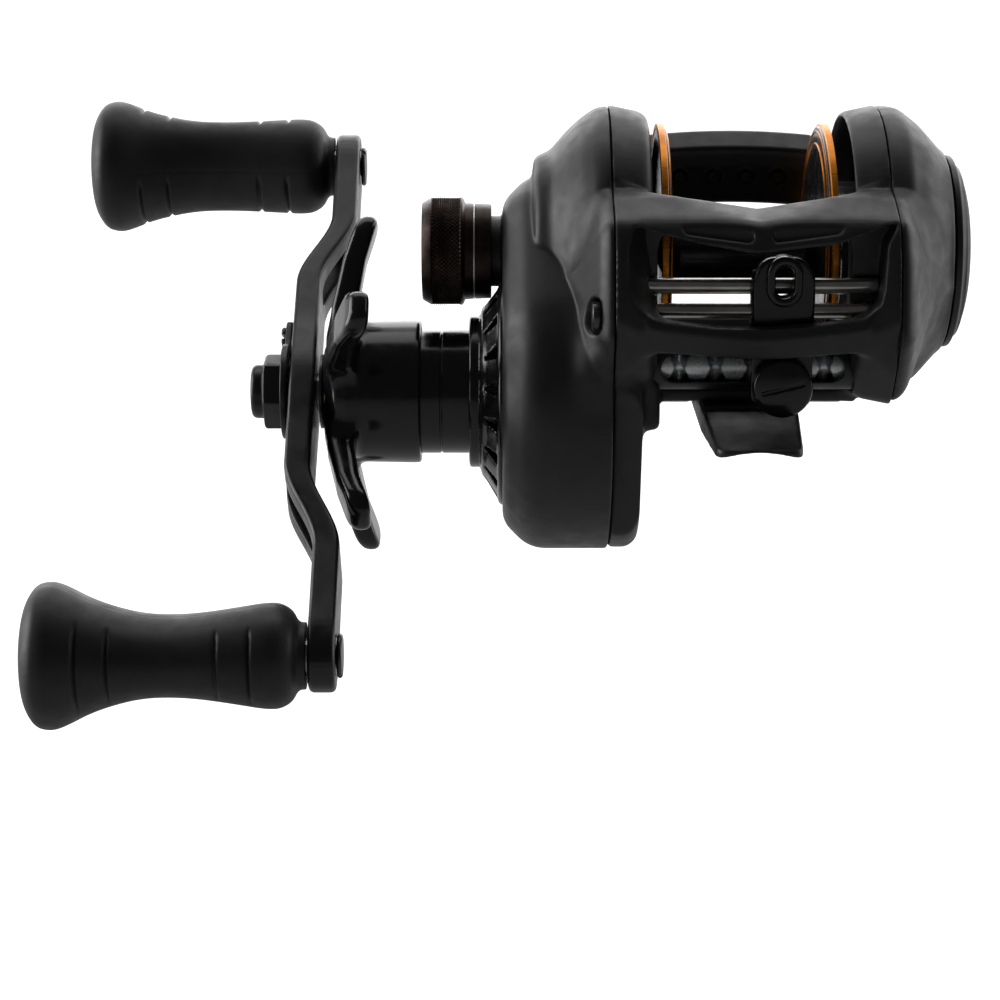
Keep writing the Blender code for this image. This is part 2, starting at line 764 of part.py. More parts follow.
def make_star(axis):
    """The five-armed drag wheel: a cup over the tower, with arms that lean towards the reel."""
    star = turned(
        "star_drag",
        DRIVE_AXIS,
        [(-46.1, 10.3), (-55.0, 10.3), (-57.2, 9.6), (-59.4, 8.4)],
        32,
    )
    blade = [
        (6.0, -59.4),
        (12.0, -59.4),
        (19.0, -57.6),
        (24.6, -55.9),
        (25.7, -54.4),
        (24.9, -52.6),
        (19.0, -54.2),
        (12.5, -55.4),
        (6.0, -55.4),
    ]
    for number in range(STAR_ARMS):
        curve = prism(f"star_arm_{number}", [[(r, x) for r, x in blade]], -3.3, 3.3)
        # The blade is drawn as (radius, x) and extruded across its width.
        lie = Matrix(((0, 0, 1), (0, 1, 0), (-1, 0, 0))).to_4x4()
        turn = Matrix.Rotation(math.tau * number / STAR_ARMS + STAR_TURN, 4, "X")
        centre = Matrix.Translation((0.0, DRIVE_AXIS[0] * MM, DRIVE_AXIS[1] * MM))
        curve.matrix_world = centre @ turn @ lie @ curve.matrix_world
        join(star, curve)
    cut(
        star,
        bore("cut_star_cup", DRIVE_AXIS, -52.0, -45.0, 9.3, 32),
        bore("cut_star_bore", DRIVE_AXIS, -62.0, -45.0, SHAFT_R + GAP, 24),
    )
    part(star, BLACK_GLOSS, axis)


def arm_shift(t):
    """How far towards the reel the arm is offset at a distance t from its middle."""
    share = (abs(t) - ARM_BEND_FROM) / (ARM_BEND_TO - ARM_BEND_FROM)
    return ARM_BEND * min(1.0, max(0.0, share))


def arm_frame():
    """World matrix of the handle arm: local x runs along it, y across it and z along the shaft."""
    along = Vector((0.0, math.sin(ARM_TILT), math.cos(ARM_TILT)))
    axial = Vector((1.0, 0.0, 0.0))
    across = axial.cross(along)
    rotation = Matrix((along, across, axial)).transposed().to_4x4()
    centre = Vector((ARM_MID_X, *DRIVE_AXIS)) * MM
    return Matrix.Translation(centre) @ rotation


def arm_piece(name, outline, thick, offset=0.0):
    """A flat piece in the handle arm's frame, from an outline of (along, across) points."""
    obj = bpy.data.objects.new(name, filled(name, [outline], thick))
    obj.matrix_world = arm_frame() @ Matrix.Translation((0.0, 0.0, offset * MM))
    return baked(obj)


def arm_outline():
    """Round ends, straight edges and a wider middle round the shaft."""
    half = [
        (ARM_HALF + ARM_END_R * math.cos(a), ARM_END_R * math.sin(a)) for a in fan(-80, 80, 9)
    ]
    waist = [(ARM_BEND_TO, 5.2), (ARM_BEND_FROM, 5.9)]
    hub = [(7.0 * math.cos(a), 7.0 * math.sin(a)) for a in fan(60, 120, 5)]
    upper = half[5:] + waist + hub + [(-t, w) for t, w in reversed(waist)]
    upper += [(-t, w) for t, w in reversed(half[5:])]
    lower = [(-t, -w) for t, w in upper]
    tip = ARM_HALF + ARM_END_R
    return [(tip, 0.0), *upper, (-tip, 0.0), *lower]


def fan(first, last, count):
    return [math.radians(first + (last - first) * i / (count - 1)) for i in range(count)]


def make_arm(handle):
    """A double handle: a flat bar joggled towards the reel on both sides of the shaft."""
    mesh = bpy.data.meshes.new("handle_arm")
    grid = bmesh.new()
    verts = [grid.verts.new((t * MM, w * MM, 0.0)) for t, w in arm_outline()]
    grid.faces.new(verts)
    for t in (-ARM_BEND_TO, -ARM_BEND_FROM, ARM_BEND_FROM, ARM_BEND_TO):
        geometry = grid.verts[:] + grid.edges[:] + grid.faces[:]
        bmesh.ops.bisect_plane(grid, geom=geometry, dist=1e-7,
                                plane_co=(t * MM, 0, 0), plane_no=(1, 0, 0))
    for vert in grid.verts:
        vert.co.z = arm_shift(vert.co.x / MM) * MM
    grid.to_mesh(mesh)
    grid.free()
    arm = bpy.data.objects.new("handle_arm", mesh)
    arm.matrix_world = arm_frame()
    solid = arm.modifiers.new("thickness", "SOLIDIFY")
    solid.thickness = ARM_THICK * MM
    solid.offset = 0.0
    cut(arm, bore("cut_arm_bore", DRIVE_AXIS, -80.0, -50.0, STUD_R + GAP, 20))
    for side in (-1, 1):
        middle = side * 0.5 * (ARM_BEND_FROM + ARM_BEND_TO) - side * 1.0
        slot = capsule(middle - 4.0, middle + 4.0, 2.0)
        cut(arm, arm_piece(f"cut_arm_slot_{side}", slot, 24.0))
    for name, side in KNOBS.items():
        cut(arm, bore(f"cut_post_{name}", knob_yz(side), -80.0, -50.0, POST_R + GAP, 16))
    part(arm, BLACK_METAL, handle)


def capsule(first, last, radius, count=6):
    right = [(last + radius * math.cos(a), radius * math.sin(a)) for a in fan(-90, 90, count)]
    left = [(first + radius * math.cos(a), radius * math.sin(a)) for a in fan(90, 270, count)]
    return right + left


def knob_yz(side):
    return (
        DRIVE_AXIS[0] + side * ARM_HALF * math.sin(ARM_TILT),
        DRIVE_AXIS[1] + side * ARM_HALF * math.cos(ARM_TILT),
    )


def make_knob(name, side, axis, spin):
    """A soft grip with an oval waist, free to turn on its post."""
    yz = knob_yz(side)
    near = ARM_END_OUTER - GAP
    profile = [
        (near, 4.5),
        (near - 1.0, 4.6),
        (near - 1.8, 6.2),
        (near - 3.4, 7.3),
        (near - 5.4, 7.4),
        (near - 9.0, 7.2),
        (near - 16.0, 6.9),
        (near - 22.0, 6.9),
        (near - 28.3, 8.3),
        (near - 32.0, 9.9),
        (near - 33.6, 10.2),
        (near - 36.0, 9.7),
        (KNOB_END_X + 0.4, 7.6),
        (KNOB_END_X, 5.4),
    ]
    knob = baked(turned(f"knob_{name}", yz, profile, 18))
    for vert in knob.data.vertices:
        depth = (vert.co.z / MM - near) / (KNOB_END_X - near)
        vert.co.x *= 1.0 - 0.22 * math.sin(math.pi * min(1.0, max(0.0, depth))) ** 2
    turn = Matrix.Rotation(spin, 4, "Z")
    knob.matrix_world = knob.matrix_world @ turn
    cut(knob, bore(f"cut_knob_{name}", yz, -93.0, -50.0, POST_R + GAP, 20))
    part(knob, BLACK_SOFT, axis)


def make_knob_hardware(handle):
    for name, side in KNOBS.items():
        yz = knob_yz(side)
        post = rod(f"knob_post_{name}", yz, -92.6, ARM_END_INNER - 0.1, POST_R, 20)
        thread = (ARM_END_INNER - 7.0, ARM_END_INNER + 2.0)
        cut(post, bore(f"cut_thread_{name}", yz, *thread, 1.5, 16))
        part(post, STEEL, handle)
        face = ARM_END_INNER + 0.25
        screw = turned(
            f"knob_screw_{name}",
            yz,
            [(face + 1.2, 2.6), (face + 0.8, 3.1), (face, 3.1), (face, 1.2), (face - 5.6, 1.2)],
            16,
        )
        part(screw, STEEL, handle)


def make_handle_nut(handle):
    """The nut on the shaft's end, held from turning by a plate that is screwed to the arm."""
    outer = ARM_MID_X - 0.5 * ARM_THICK
    flats_r = 4.8 / math.cos(math.pi / 6)
    hexagon = [(flats_r * math.cos(a), flats_r * math.sin(a)) for a in fan(0, 300, 6)]
    nut = arm_piece("handle_nut", hexagon, 3.6, outer - GAP - 1.8 - ARM_MID_X)
    collar = rod("nut_collar", DRIVE_AXIS, -70.9, -68.5, 3.9, 24)
    join(nut, collar)
    cut(nut, bore("cut_nut", DRIVE_AXIS, -75.0, -60.0, STUD_R + GAP, 20))
    part(nut, BLACK_METAL, handle)
    plate_r = 6.9
    plate_outline = [(plate_r * math.cos(a), plate_r * math.sin(a)) for a in fan(40, 320, 12)]
    plate_outline += [(10.6 + 2.4 * math.cos(a), 2.4 * math.sin(a)) for a in fan(-80, 80, 6)]
    plate = arm_piece("nut_retainer", plate_outline, 1.0, outer - GAP - 0.5 - ARM_MID_X)
    hole_r = flats_r + GAP / math.cos(math.pi / 6)
    hexagon_hole = [(hole_r * math.cos(a), hole_r * math.sin(a)) for a in fan(0, 300, 6)]
    cut(plate, arm_piece("cut_retainer", hexagon_hole, 8.0, outer - ARM_MID_X))
    along = Vector((math.sin(ARM_TILT), math.cos(ARM_TILT)))
    screw_yz = tuple(Vector(DRIVE_AXIS) + 10.6 * along)
    cut(plate, bore("cut_retainer_screw", screw_yz, -75.0, -60.0, 1.0, 12))
    part(plate, BLACK_METAL, handle)
    head = outer - GAP - 1.0 - 0.25
    screw = turned(
        "retainer_screw",
        screw_yz,
        [(outer + 2.0, 0.7), (head, 0.7), (head, 1.7), (head - 0.9, 1.4)],
        16,
    )
    cut(bpy.data.objects["handle_arm"], bore("cut_arm_thread", screw_yz, -75.0, outer + 2.6, 1.0, 12))
    part(screw, STEEL, handle)


# ---------------------------------------------------------------- line guide


def make_line_guide(guide_axis, worm_axis):
    y, z = WORM_AXIS
    left = CARRIAGE_X - CARRIAGE_HALF
    right = CARRIAGE_X + CARRIAGE_HALF
    plate = block("line_guide", (left, -27.4, 3.9), (right, -25.3, 24.6))
    rider = block("guide_rider", (left, -26.0, 14.9), (right, -22.3, 22.2))
    join(plate, rider)
    for name, rod_yz in RODS.items():
        cut(plate, bore(f"cut_guide_{name}", rod_yz, left - 2, right + 2, ROD_R + GAP, 16))
    hole = oval_ring("cut_eyelet", 3.3, 3.9, None, -30.0, -20.0)
    cut(plate, hole, upright_y("cut_pawl", (CARRIAGE_X, z), -30.0, -20.0, 1.7))
    part(plate, BLACK_GLOSS, guide_axis)
    insert = oval_ring("line_guide_insert", 3.0, 3.6, (1.6, 2.5), -28.6, -25.6)
    part(insert, BLACK_GLOSS, guide_axis)
    part(upright_y("line_guide_pawl", (CARRIAGE_X, z), -27.3, y - 2.6, 1.3), BRASS, guide_axis)
    cap = upright_y("pawl_cap", (CARRIAGE_X, z - 1.7), -30.0, -27.7, 4.1, 24)
    part(cap, BLACK_BODY, guide_axis)
    tube = ring("worm_tube", WORM_AXIS, -15.3, 15.3, 2.6, TUBE_R, 20)
    slot = block("cut_tube_slot", (-12.6, -28.0, z - 1.9), (12.6, y - 0.5, z + 1.9))
    cut(tube, slot)
    part(tube, BLACK_BODY)
    worm = turned(
        "worm_shaft",
        WORM_AXIS,
        [(16.9, 1.3), (15.2, 1.3), (15.2, 2.2), (-15.2, 2.2), (-15.2, 1.3), (-22.4, 1.3)],
        16,
    )
    part(worm, STEEL, worm_axis)
    for name, rod_yz in RODS.items():
        part(rod(f"guide_rod_{name}", rod_yz, -16.9, 16.9, ROD_R, 16), STEEL)


def upright_y(name, xz, y0, y1, radius, steps=16):
    """A round piece along Y."""
    obj = upright(name, (0.0, 0.0), -y1, -y0, radius, steps)
    obj.matrix_world = Matrix.Translation((xz[0] * MM, 0.0, xz[1] * MM)) @ Matrix.Rotation(
        math.radians(90), 4, "X"
    )
    return obj


def oval_ring(name, half_x, half_z, hole, y0, y1, count=20):
    """A flat oval facing the front, with an oval hole if hole gives its half sizes."""
    radii = [(half_x, half_z)] + ([hole] if hole else [])
    turns = [math.tau * i / count for i in range(count)]
    ovals = [[(rx * math.cos(a), rz * math.sin(a)) for a in turns] for rx, rz in radii]
    obj = bpy.data.objects.new(name, filled(name, ovals, y1 - y0))
    place = Vector((CARRIAGE_X, 0.5 * (y0 + y1), EYELET_Z)) * MM
    obj.matrix_world = Matrix.Translation(place) @ Matrix.Rotation(math.radians(90), 4, "X")
    return baked(obj)


# ---------------------------------------------------------------- controls


def make_thumb_bar(axis):
    top = [(17.0, 33.9), (20.6, 36.3), (23.6, 34.6)]
    apron = [(23.0, 30.0), (21.9, 25.0), (20.3, 25.0), (19.4, 30.6)]
    bar = prism("thumb_bar", [top + apron], -12.9, 12.9)
    bevel(bar, 0.5)
    part(bar, BLACK_BODY, axis)


def make_tension_knob(axis):
    knob = turned(
        "tension_knob",
        SPOOL_AXIS,
        [(-36.0, 7.0), (-39.8, 7.0), (-40.1, 7.8), (-45.2, 7.8), (-46.0, 7.1)],
        28,
    )
    cut(knob, bore("cut_tension_knob", SPOOL_AXIS, -44.4, -30.0, 5.5, 24))
    part(knob, BRONZE, axis)


# ---------------------------------------------------------------- the reel

clear_scene()
REEL = new_collection("baitcasting_reel")
CUTTERS = new_collection("cutters")
GUIDES = new_collection("joint_axes")

handle_axis = joint_axis("handle_axis", ARM_MID_X, DRIVE_AXIS)
star_axis = joint_axis("star_axis", -57.0, DRIVE_AXIS)
spool_joint = joint_axis("spool_joint", 0.0, SPOOL_AXIS)
pinion_joint = joint_axis("pinion_joint", -27.0, SPOOL_AXIS)
cam_joint = joint_axis("cam_joint", -22.8, SPOOL_AXIS)
yoke_joint = joint_axis("yoke_joint", -24.2, SPOOL_AXIS)
worm_joint = joint_axis("worm_joint", 0.0, WORM_AXIS)
guide_joint = joint_axis("guide_joint", CARRIAGE_X, RODS["upper"])
thumb_joint = joint_axis("thumb_joint", 0.0, (20.6, 36.3))
tension_joint = joint_axis("tension_joint", -42.0, SPOOL_AXIS)
shoe_joints = [joint_axis(f"shoe_joint_{n + 1}", 15.1, SPOOL_AXIS) for n in range(BRAKE_SHOES)]

make_frame()
make_foot()
make_gear_side_cover()
make_palm_side_cover()
make_bearings()
make_spool(spool_joint)
make_brake(shoe_joints)
make_drive(handle_axis, pinion_joint, worm_joint)
make_clutch(cam_joint, yoke_joint)
make_drive_shaft(handle_axis)
make_tower()
make_star(star_axis)
make_arm(handle_axis)
make_knob_hardware(handle_axis)
make_handle_nut(handle_axis)
for knob_name, knob_side in KNOBS.items():
    knob_joint = joint_axis(f"knob_joint_{knob_name}", -80.0, knob_yz(knob_side))
    knob_spin = math.radians(0 if knob_name == "upper" else 90)
    make_knob(knob_name, knob_side, knob_joint, knob_spin)
make_line_guide(guide_joint, worm_joint)
make_thumb_bar(thumb_joint)
make_tension_knob(tension_joint)
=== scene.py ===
"""Looks of the baitcasting reel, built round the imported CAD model.

Lengths are in millimetres in the CAD's own frame until a mesh is made: +Z up, -Y the front where
the line leaves, -X the handle side. Sculpted pieces are sampled distance fields, negative inside,
that are meshed with surface nets. Round pieces are profiles turned about an axis.
"""

import json
import math

import bmesh
import bpy
import numpy as np
from mathutils import Matrix, Vector


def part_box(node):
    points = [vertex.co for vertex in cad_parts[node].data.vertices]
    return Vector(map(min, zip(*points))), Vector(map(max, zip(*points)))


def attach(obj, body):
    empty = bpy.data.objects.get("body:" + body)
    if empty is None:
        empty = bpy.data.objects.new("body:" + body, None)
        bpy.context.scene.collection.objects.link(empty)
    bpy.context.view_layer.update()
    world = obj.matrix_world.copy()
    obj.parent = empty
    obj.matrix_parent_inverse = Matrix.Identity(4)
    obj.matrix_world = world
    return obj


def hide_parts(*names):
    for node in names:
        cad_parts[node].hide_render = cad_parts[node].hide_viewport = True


MM = 0.001

# Axes that run along X, as (y, z).
SPOOL = (0.0, 21.0)
DRIVE = (-5.3, 1.3)
WORM = (-21.5, 8.7)
RODS = {"guide_rod_upper": (-24.0, 20.2), "guide_rod_lower": (-25.0, 16.9)}
FRONT_SCREW = (-27.3, 16.6)
REAR_SCREW = (17.8, 26.4)

# The covers meet the frame at PARTING from the middle, and each side stands back by SEAM.
PARTING = 19.2
SEAM = 0.03
WALL = 13.2
RING_R = 21.0
DRUM_R = 22.8
SPOOL_HOLE_R = 19.2
FRONT_MIDDLE = 0.4
FOOT_SCREWS_Y = (-15.5, 14.0)
BODY_STEP = 0.28
COVER_SCREW_SEAT = -21.0

CARRIAGE_X = 3.7
EYELET_Z = 21.4
SHAFT_BORE_R = 1.55

# The handle arm steps towards the reel by ARM_BEND between two distances from its middle.
ARM_HALF = 47.4
ARM_TILT = math.radians(54.4)
ARM_THICK = 3.8
ARM_MID_X = -63.1
ARM_BEND = 4.65
ARM_BEND_FROM = 17.5
ARM_BEND_TO = 32.0
ARM_END_OUTER = ARM_MID_X + ARM_BEND - 0.5 * ARM_THICK
ARM_END_INNER = ARM_MID_X + ARM_BEND + 0.5 * ARM_THICK
LOCK_SCREW_AT = 10.6
KNOB_NEAR = ARM_END_OUTER - 0.3
KNOB_END = -98.3

# ---------------------------------------------------------------- outlines


def arc(centre, radius, first, last, count):
    turns = [math.radians(first + (last - first) * i / (count - 1)) for i in range(count)]
    return [(centre[0] + radius * math.cos(a), centre[1] + radius * math.sin(a)) for a in turns]


def softened(points, radius, closed=True, steps=4):
    """The outline with each corner replaced by a short curve that starts radius away from it."""
    count = len(points)
    result = []
    for i, point in enumerate(points):
        if not closed and i in (0, count - 1):
            result.append(tuple(point))
            continue
        here = Vector(point)
        before = Vector(points[i - 1]) - here
        after = Vector(points[(i + 1) % count]) - here
        start = here + before * min(0.45, radius / max(before.length, 1e-6))
        end = here + after * min(0.45, radius / max(after.length, 1e-6))
        for k in range(steps + 1):
            t = k / steps
            spot = start * (1 - t) ** 2 + here * 2 * t * (1 - t) + end * t * t
            result.append((spot.x, spot.y))
    return result


def nose_outline(grow=0.0):
    """The side walls seen from the side: ring crown, hood end, front, bottom and round the back."""
    crown = arc(SPOOL, RING_R + grow, 80, 146, 24)
    front = [
        (-21.2, 31.9 + grow),
        (-27.3 - grow, 29.5 + grow),
        (-29.5 - grow, 25.0),
        (-31.0 - grow, 18.4),
        (-31.7 - grow, 13.6),
        (-30.2 - grow, 11.2 - grow),
        (-24.6 - grow, 3.6 - grow),
        (-18.0, 2.9 - grow),
        (12.0, 2.9 - grow),
    ]
    rear = arc(SPOOL, RING_R + grow, -38, 78, 36)
    return crown + softened(front, 1.6, closed=False) + rear


# ---------------------------------------------------------------- distance fields


def grid(low, high, step):
    axes = [np.arange(a, b + step, step, dtype=np.float32) for a, b in zip(low, high)]
    return axes[0][:, None, None], axes[1][None, :, None], axes[2][None, None, :]


def outline_distance(points, u, v):
    """Signed distance from (u, v) to a closed outline."""
    shape = np.broadcast(u, v).shape
    nearest = np.full(shape, 1e9, np.float32)
    inside = np.zeros(shape, bool)
    for (au, av), (bu, bv) in zip(points, points[1:] + points[:1]):
        du, dv = bu - au, bv - av
        length = du * du + dv * dv
        if length < 1e-12:
            continue
        share = np.clip(((u - au) * du + (v - av) * dv) / length, 0, 1)
        nearest = np.minimum(nearest, (u - au - share * du) ** 2 + (v - av - share * dv) ** 2)
        if dv:
            spans = (av > v) != (bv > v)
            inside ^= spans & (u < du * (v - av) / dv + au)
    return np.where(inside, -1, 1).astype(np.float32) * np.sqrt(nearest)


def meet(a, b, soft=0.0):
    """The part inside both a and b, with its new edges rounded off over about soft."""
    if soft <= 0:
        return np.maximum(a, b)
    blend = np.clip(soft - np.abs(a - b), 0, None) / soft
    return np.maximum(a, b) + blend * blend * soft * 0.25


def merge(a, b, soft=0.0):
    """a and b together, with a fillet of about soft where they join."""
    return -meet(-a, -b, soft)


def carve(a, b, soft=0.0):
    """a with b taken out of it."""
    return meet(a, -b, soft)


def between(values, low, high):
    return meet(low - values, values - high)


def turned_field(g, axis, points, soft=0.0):
    """A solid turned about an X axis from (x, radius) points, closed well past the axis."""
    x, y, z = g
    profile = softened(points, soft, closed=False) if soft else points
    profile = [(points[0][0], -5.0), *profile, (points[-1][0], -5.0)]
    spacing, reach = 0.1, 60.0
    radii = np.arange(0, reach, spacing, dtype=np.float32)
    table = outline_distance(profile, x[:, 0, 0][:, None], radii[None, :])
    place = np.sqrt((y[0] - axis[0]) ** 2 + (z[0] - axis[1]) ** 2) / spacing
    low = np.minimum(place.astype(np.int32), len(radii) - 2)
    share = place - low
    return table[:, low] * (1 - share) + table[:, low + 1] * share


def rod_field(g, axis, x0, x1, radius, soft=0.0):
    x, y, z = g
    return meet(np.hypot(y - axis[0], z - axis[1]) - radius, between(x, x0, x1), soft)


CORNERS = np.array([(i, j, k) for i in (0, 1) for j in (0, 1) for k in (0, 1)])
CELL_EDGES = [
    (a, b)
    for a in range(8)
    for b in range(a + 1, 8)
    if np.abs(CORNERS[a] - CORNERS[b]).sum() == 1
]


def sampled(field, points):
    """Values of a field at points given in cells, between its samples."""
    limit = np.array(field.shape) - 2
    base = np.clip(np.floor(points).astype(np.int64), 0, limit)
    share = np.clip(points - base, 0, 1)
    total = np.zeros(len(points))
    for corner in CORNERS:
        weight = np.prod(np.where(corner, share, 1 - share), axis=1)
        i, j, k = (base + corner).T
        total += weight * field[i, j, k]
    return total


def surface(name, field, low, step, keep):
    """A mesh on the field's zero level, thinned to the share keep of its faces."""
    inside = field < 0
    count = sum(
        inside[i : i - 1 or None, j : j - 1 or None, k : k - 1 or None].astype(np.uint8)
        for i, j, k in CORNERS
    )
    active = (count > 0) & (count < 8)
    cells = np.argwhere(active)
    number = np.full(active.shape, -1, np.int64)
    number[active] = np.arange(len(cells))
    values = np.array([field[tuple((cells + c).T)] for c in CORNERS]).T
    spots = np.zeros((len(cells), 3))
    hits = np.zeros(len(cells))
    for a, b in CELL_EDGES:
        va, vb = values[:, a], values[:, b]
        crosses = (va < 0) != (vb < 0)
        share = np.where(crosses, va / np.where(crosses, va - vb, 1), 0)
        spot = CORNERS[a] + share[:, None] * (CORNERS[b] - CORNERS[a])
        spots += spot * crosses[:, None]
        hits += crosses
    points = cells + spots / hits[:, None]
    for _ in range(2):
        away = 0.5 * np.eye(3)
        slope = np.stack(
            [sampled(field, points + d) - sampled(field, points - d) for d in away], axis=1
        )
        size = np.maximum((slope**2).sum(1), (0.3 * step) ** 2)
        shift = sampled(field, points)[:, None] * slope / size[:, None]
        points -= np.clip(shift, -0.5, 0.5)
    quads = []
    for axis in range(3):
        b, c = (axis + 1) % 3, (axis + 2) % 3
        near = np.take(inside, range(field.shape[axis] - 1), axis)
        far = np.take(inside, range(1, field.shape[axis]), axis)
        edges = np.argwhere(near != far)
        edges = edges[
            (edges[:, b] > 0)
            & (edges[:, c] > 0)
            & (edges[:, b] < field.shape[b] - 1)
            & (edges[:, c] < field.shape[c] - 1)
        ]
        outward = near[tuple(edges.T)]
        corners = []
        for db, dc in ((1, 1), (0, 1), (0, 0), (1, 0)):
            cell = edges.copy()
            cell[:, b] -= db
            cell[:, c] -= dc
            corners.append(number[tuple(cell.T)])
        quad = np.stack(corners, axis=1)
        quad[~outward] = quad[~outward][:, ::-1]
        quads.append(quad[(quad >= 0).all(1)])
    quads = np.concatenate(quads)
    mesh = bpy.data.meshes.new(name)
    mesh.vertices.add(len(points))
    mesh.vertices.foreach_set("co", ((points * step + np.array(low)) * MM).ravel())
    mesh.loops.add(quads.size)
    mesh.loops.foreach_set("vertex_index", quads.ravel())
    mesh.polygons.add(len(quads))
    mesh.polygons.foreach_set("loop_start", np.arange(len(quads)) * 4)
    mesh.update(calc_edges=True)
    obj = bpy.data.objects.new(name, mesh)
    bpy.context.scene.collection.objects.link(obj)
    thin = obj.modifiers.new("thin", "DECIMATE")
    thin.ratio = keep
    return smoothed(applied(obj))


# ---------------------------------------------------------------- meshes


def applied(obj):
    """obj with its modifiers turned into mesh."""
    bpy.context.view_layer.update()
    mesh = bpy.data.meshes.new_from_object(
        obj.evaluated_get(bpy.context.evaluated_depsgraph_get())
    )
    obj.modifiers.clear()
    old = obj.data
    obj.data = mesh
    bpy.data.meshes.remove(old)
    return obj


def smoothed(obj, angle=40):
    obj.data.shade_smooth()
    obj.data.set_sharp_from_angle(angle=math.radians(angle))
    return obj


def mesh_object(name, points, faces, angle=40):
    """A mesh from points in millimetres."""
    mesh = bpy.data.meshes.new(name)
    mesh.from_pydata([tuple(c * MM for c in p) for p in points], [], faces)
    tidy = bmesh.new()
    tidy.from_mesh(mesh)
    bmesh.ops.remove_doubles(tidy, verts=tidy.verts, dist=1e-7)
    bmesh.ops.recalc_face_normals(tidy, faces=tidy.faces)
    tidy.to_mesh(mesh)
    tidy.free()
    obj = bpy.data.objects.new(name, mesh)
    bpy.context.scene.collection.objects.link(obj)
    return smoothed(obj, angle)


def lathe(name, axis, profile, hole=None, sides=96, shape=None, angle=30):
    """A piece turned about an X axis, from (x, radius) points listed from one end to the other.

    hole lists the (x, radius) points of a bore, from the profile's last end back to its first.
    shape(x, turn, radius) may change the radius, for knurls, grooves and ovals.
    """
    rows = list(profile) + list(hole or [])
    closed = bool(hole)
    points, faces = [], []
    turns = np.arange(sides) * math.tau / sides
    for x, r in rows:
        radius = shape(x, turns, r) if shape and r > 0 else np.full(sides, r)
        for turn, value in zip(turns, radius):
            points.append((x, axis[0] + value * math.cos(turn), axis[1] + value * math.sin(turn)))
    spans = len(rows) if closed else len(rows) - 1
    for i in range(spans):
        j = (i + 1) % len(rows)
        for k in range(sides):
            m = (k + 1) % sides
            face = [i * sides + k, i * sides + m, j * sides + m, j * sides + k]
            faces.append(face)
    for i in () if closed else (0, len(rows) - 1):
        if rows[i][1] > 0:
            faces.append([i * sides + k for k in range(sides)])
    return mesh_object(name, points, faces, angle)


def joined(name, objects):
    """One object from several."""
    whole = bmesh.new()
    for obj in objects:
        whole.from_mesh(obj.data)
    mesh = bpy.data.meshes.new(name)
    whole.to_mesh(mesh)
    whole.free()
    for obj in objects:
        bpy.data.objects.remove(obj)
    result = bpy.data.objects.new(name, mesh)
    bpy.context.scene.collection.objects.link(result)
    return result


# ---------------------------------------------------------------- materials


class Finish:
    """A node material whose noises are in object coordinates, in cycles per metre."""

    def __init__(self, name):
        self.material = bpy.data.materials.new(name)
        self.material.use_nodes = True
        self.tree = self.material.node_tree
        self.shader = self.tree.nodes["Principled BSDF"]
        self.place = self.add("ShaderNodeTexCoord").outputs["Object"]

    def add(self, kind, **settings):
        node = self.tree.nodes.new(kind)
        for key, value in settings.items():
            setattr(node, key, value)
        return node

    def link(self, source, target):
        self.tree.links.new(source, target)

    def set(self, **sockets):
        for key, value in sockets.items():
            self.shader.inputs[key.replace("_", " ")].default_value = value

    def stretched(self, factors):
        node = self.add("ShaderNodeMapping")
        node.inputs["Scale"].default_value = factors
        self.link(self.place, node.inputs["Vector"])
        return node.outputs["Vector"]

    def noise(self, scale, detail=3.0, rough=0.55, vector=None):
        node = self.add("ShaderNodeTexNoise")
        node.inputs["Scale"].default_value = scale
        node.inputs["Detail"].default_value = detail
        node.inputs["Roughness"].default_value = rough
        self.link(vector or self.place, node.inputs["Vector"])
        return node.outputs["Fac"]

    def ranged(self, value, low, high, start=0.35, end=0.65):
        node = self.add("ShaderNodeMapRange")
        node.inputs["From Min"].default_value = start
        node.inputs["From Max"].default_value = end
        node.inputs["To Min"].default_value = low
        node.inputs["To Max"].default_value = high
        self.link(value, node.inputs["Value"])
        return node.outputs["Result"]

    def colours(self, value, stops):
        node = self.add("ShaderNodeValToRGB")
        ramp = node.color_ramp
        while len(ramp.elements) < len(stops):
            ramp.elements.new(0.5)
        for element, (position, colour) in zip(ramp.elements, stops):
            element.position = position
            element.color = (*colour, 1.0)
        self.link(value, node.inputs["Fac"])
        self.link(node.outputs["Color"], self.shader.inputs["Base Color"])

    def roughness(self, value, low, high):
        self.link(self.ranged(value, low, high), self.shader.inputs["Roughness"])

    def bump(self, value, depth):
        """depth is the height of the relief in millimetres."""
        node = self.add("ShaderNodeBump")
        node.inputs["Distance"].default_value = depth * MM
        self.link(value, node.inputs["Height"])
        self.link(node.outputs["Normal"], self.shader.inputs["Normal"])


def coated(name, dark, light, rough, grain_depth):
    """A moulded or painted black: fine grain, slow changes of tone, worn lighter on sharp edges."""
    finish = Finish(name)
    slow = finish.noise(90, 4)
    grain = finish.noise(5200, 2, 0.6)
    pointiness = finish.add("ShaderNodeNewGeometry").outputs["Pointiness"]
    edge = finish.ranged(pointiness, 0, 1, 0.54, 0.68)
    wear = finish.add("ShaderNodeMath", operation="MULTIPLY")
    finish.link(edge, wear.inputs[0])
    finish.link(finish.noise(700, 4), wear.inputs[1])
    tone = finish.add("ShaderNodeMath", operation="ADD")
    finish.link(finish.ranged(slow, 0.0, 0.45), tone.inputs[0])
    finish.link(wear.outputs[0], tone.inputs[1])
    worn = tuple(c * 1.7 for c in light)
    finish.colours(tone.outputs[0], [(0.0, dark), (0.5, light), (1.0, worn)])
    finish.roughness(finish.noise(420, 3), rough - 0.05, rough + 0.06)
    finish.bump(grain, grain_depth)
    return finish.material


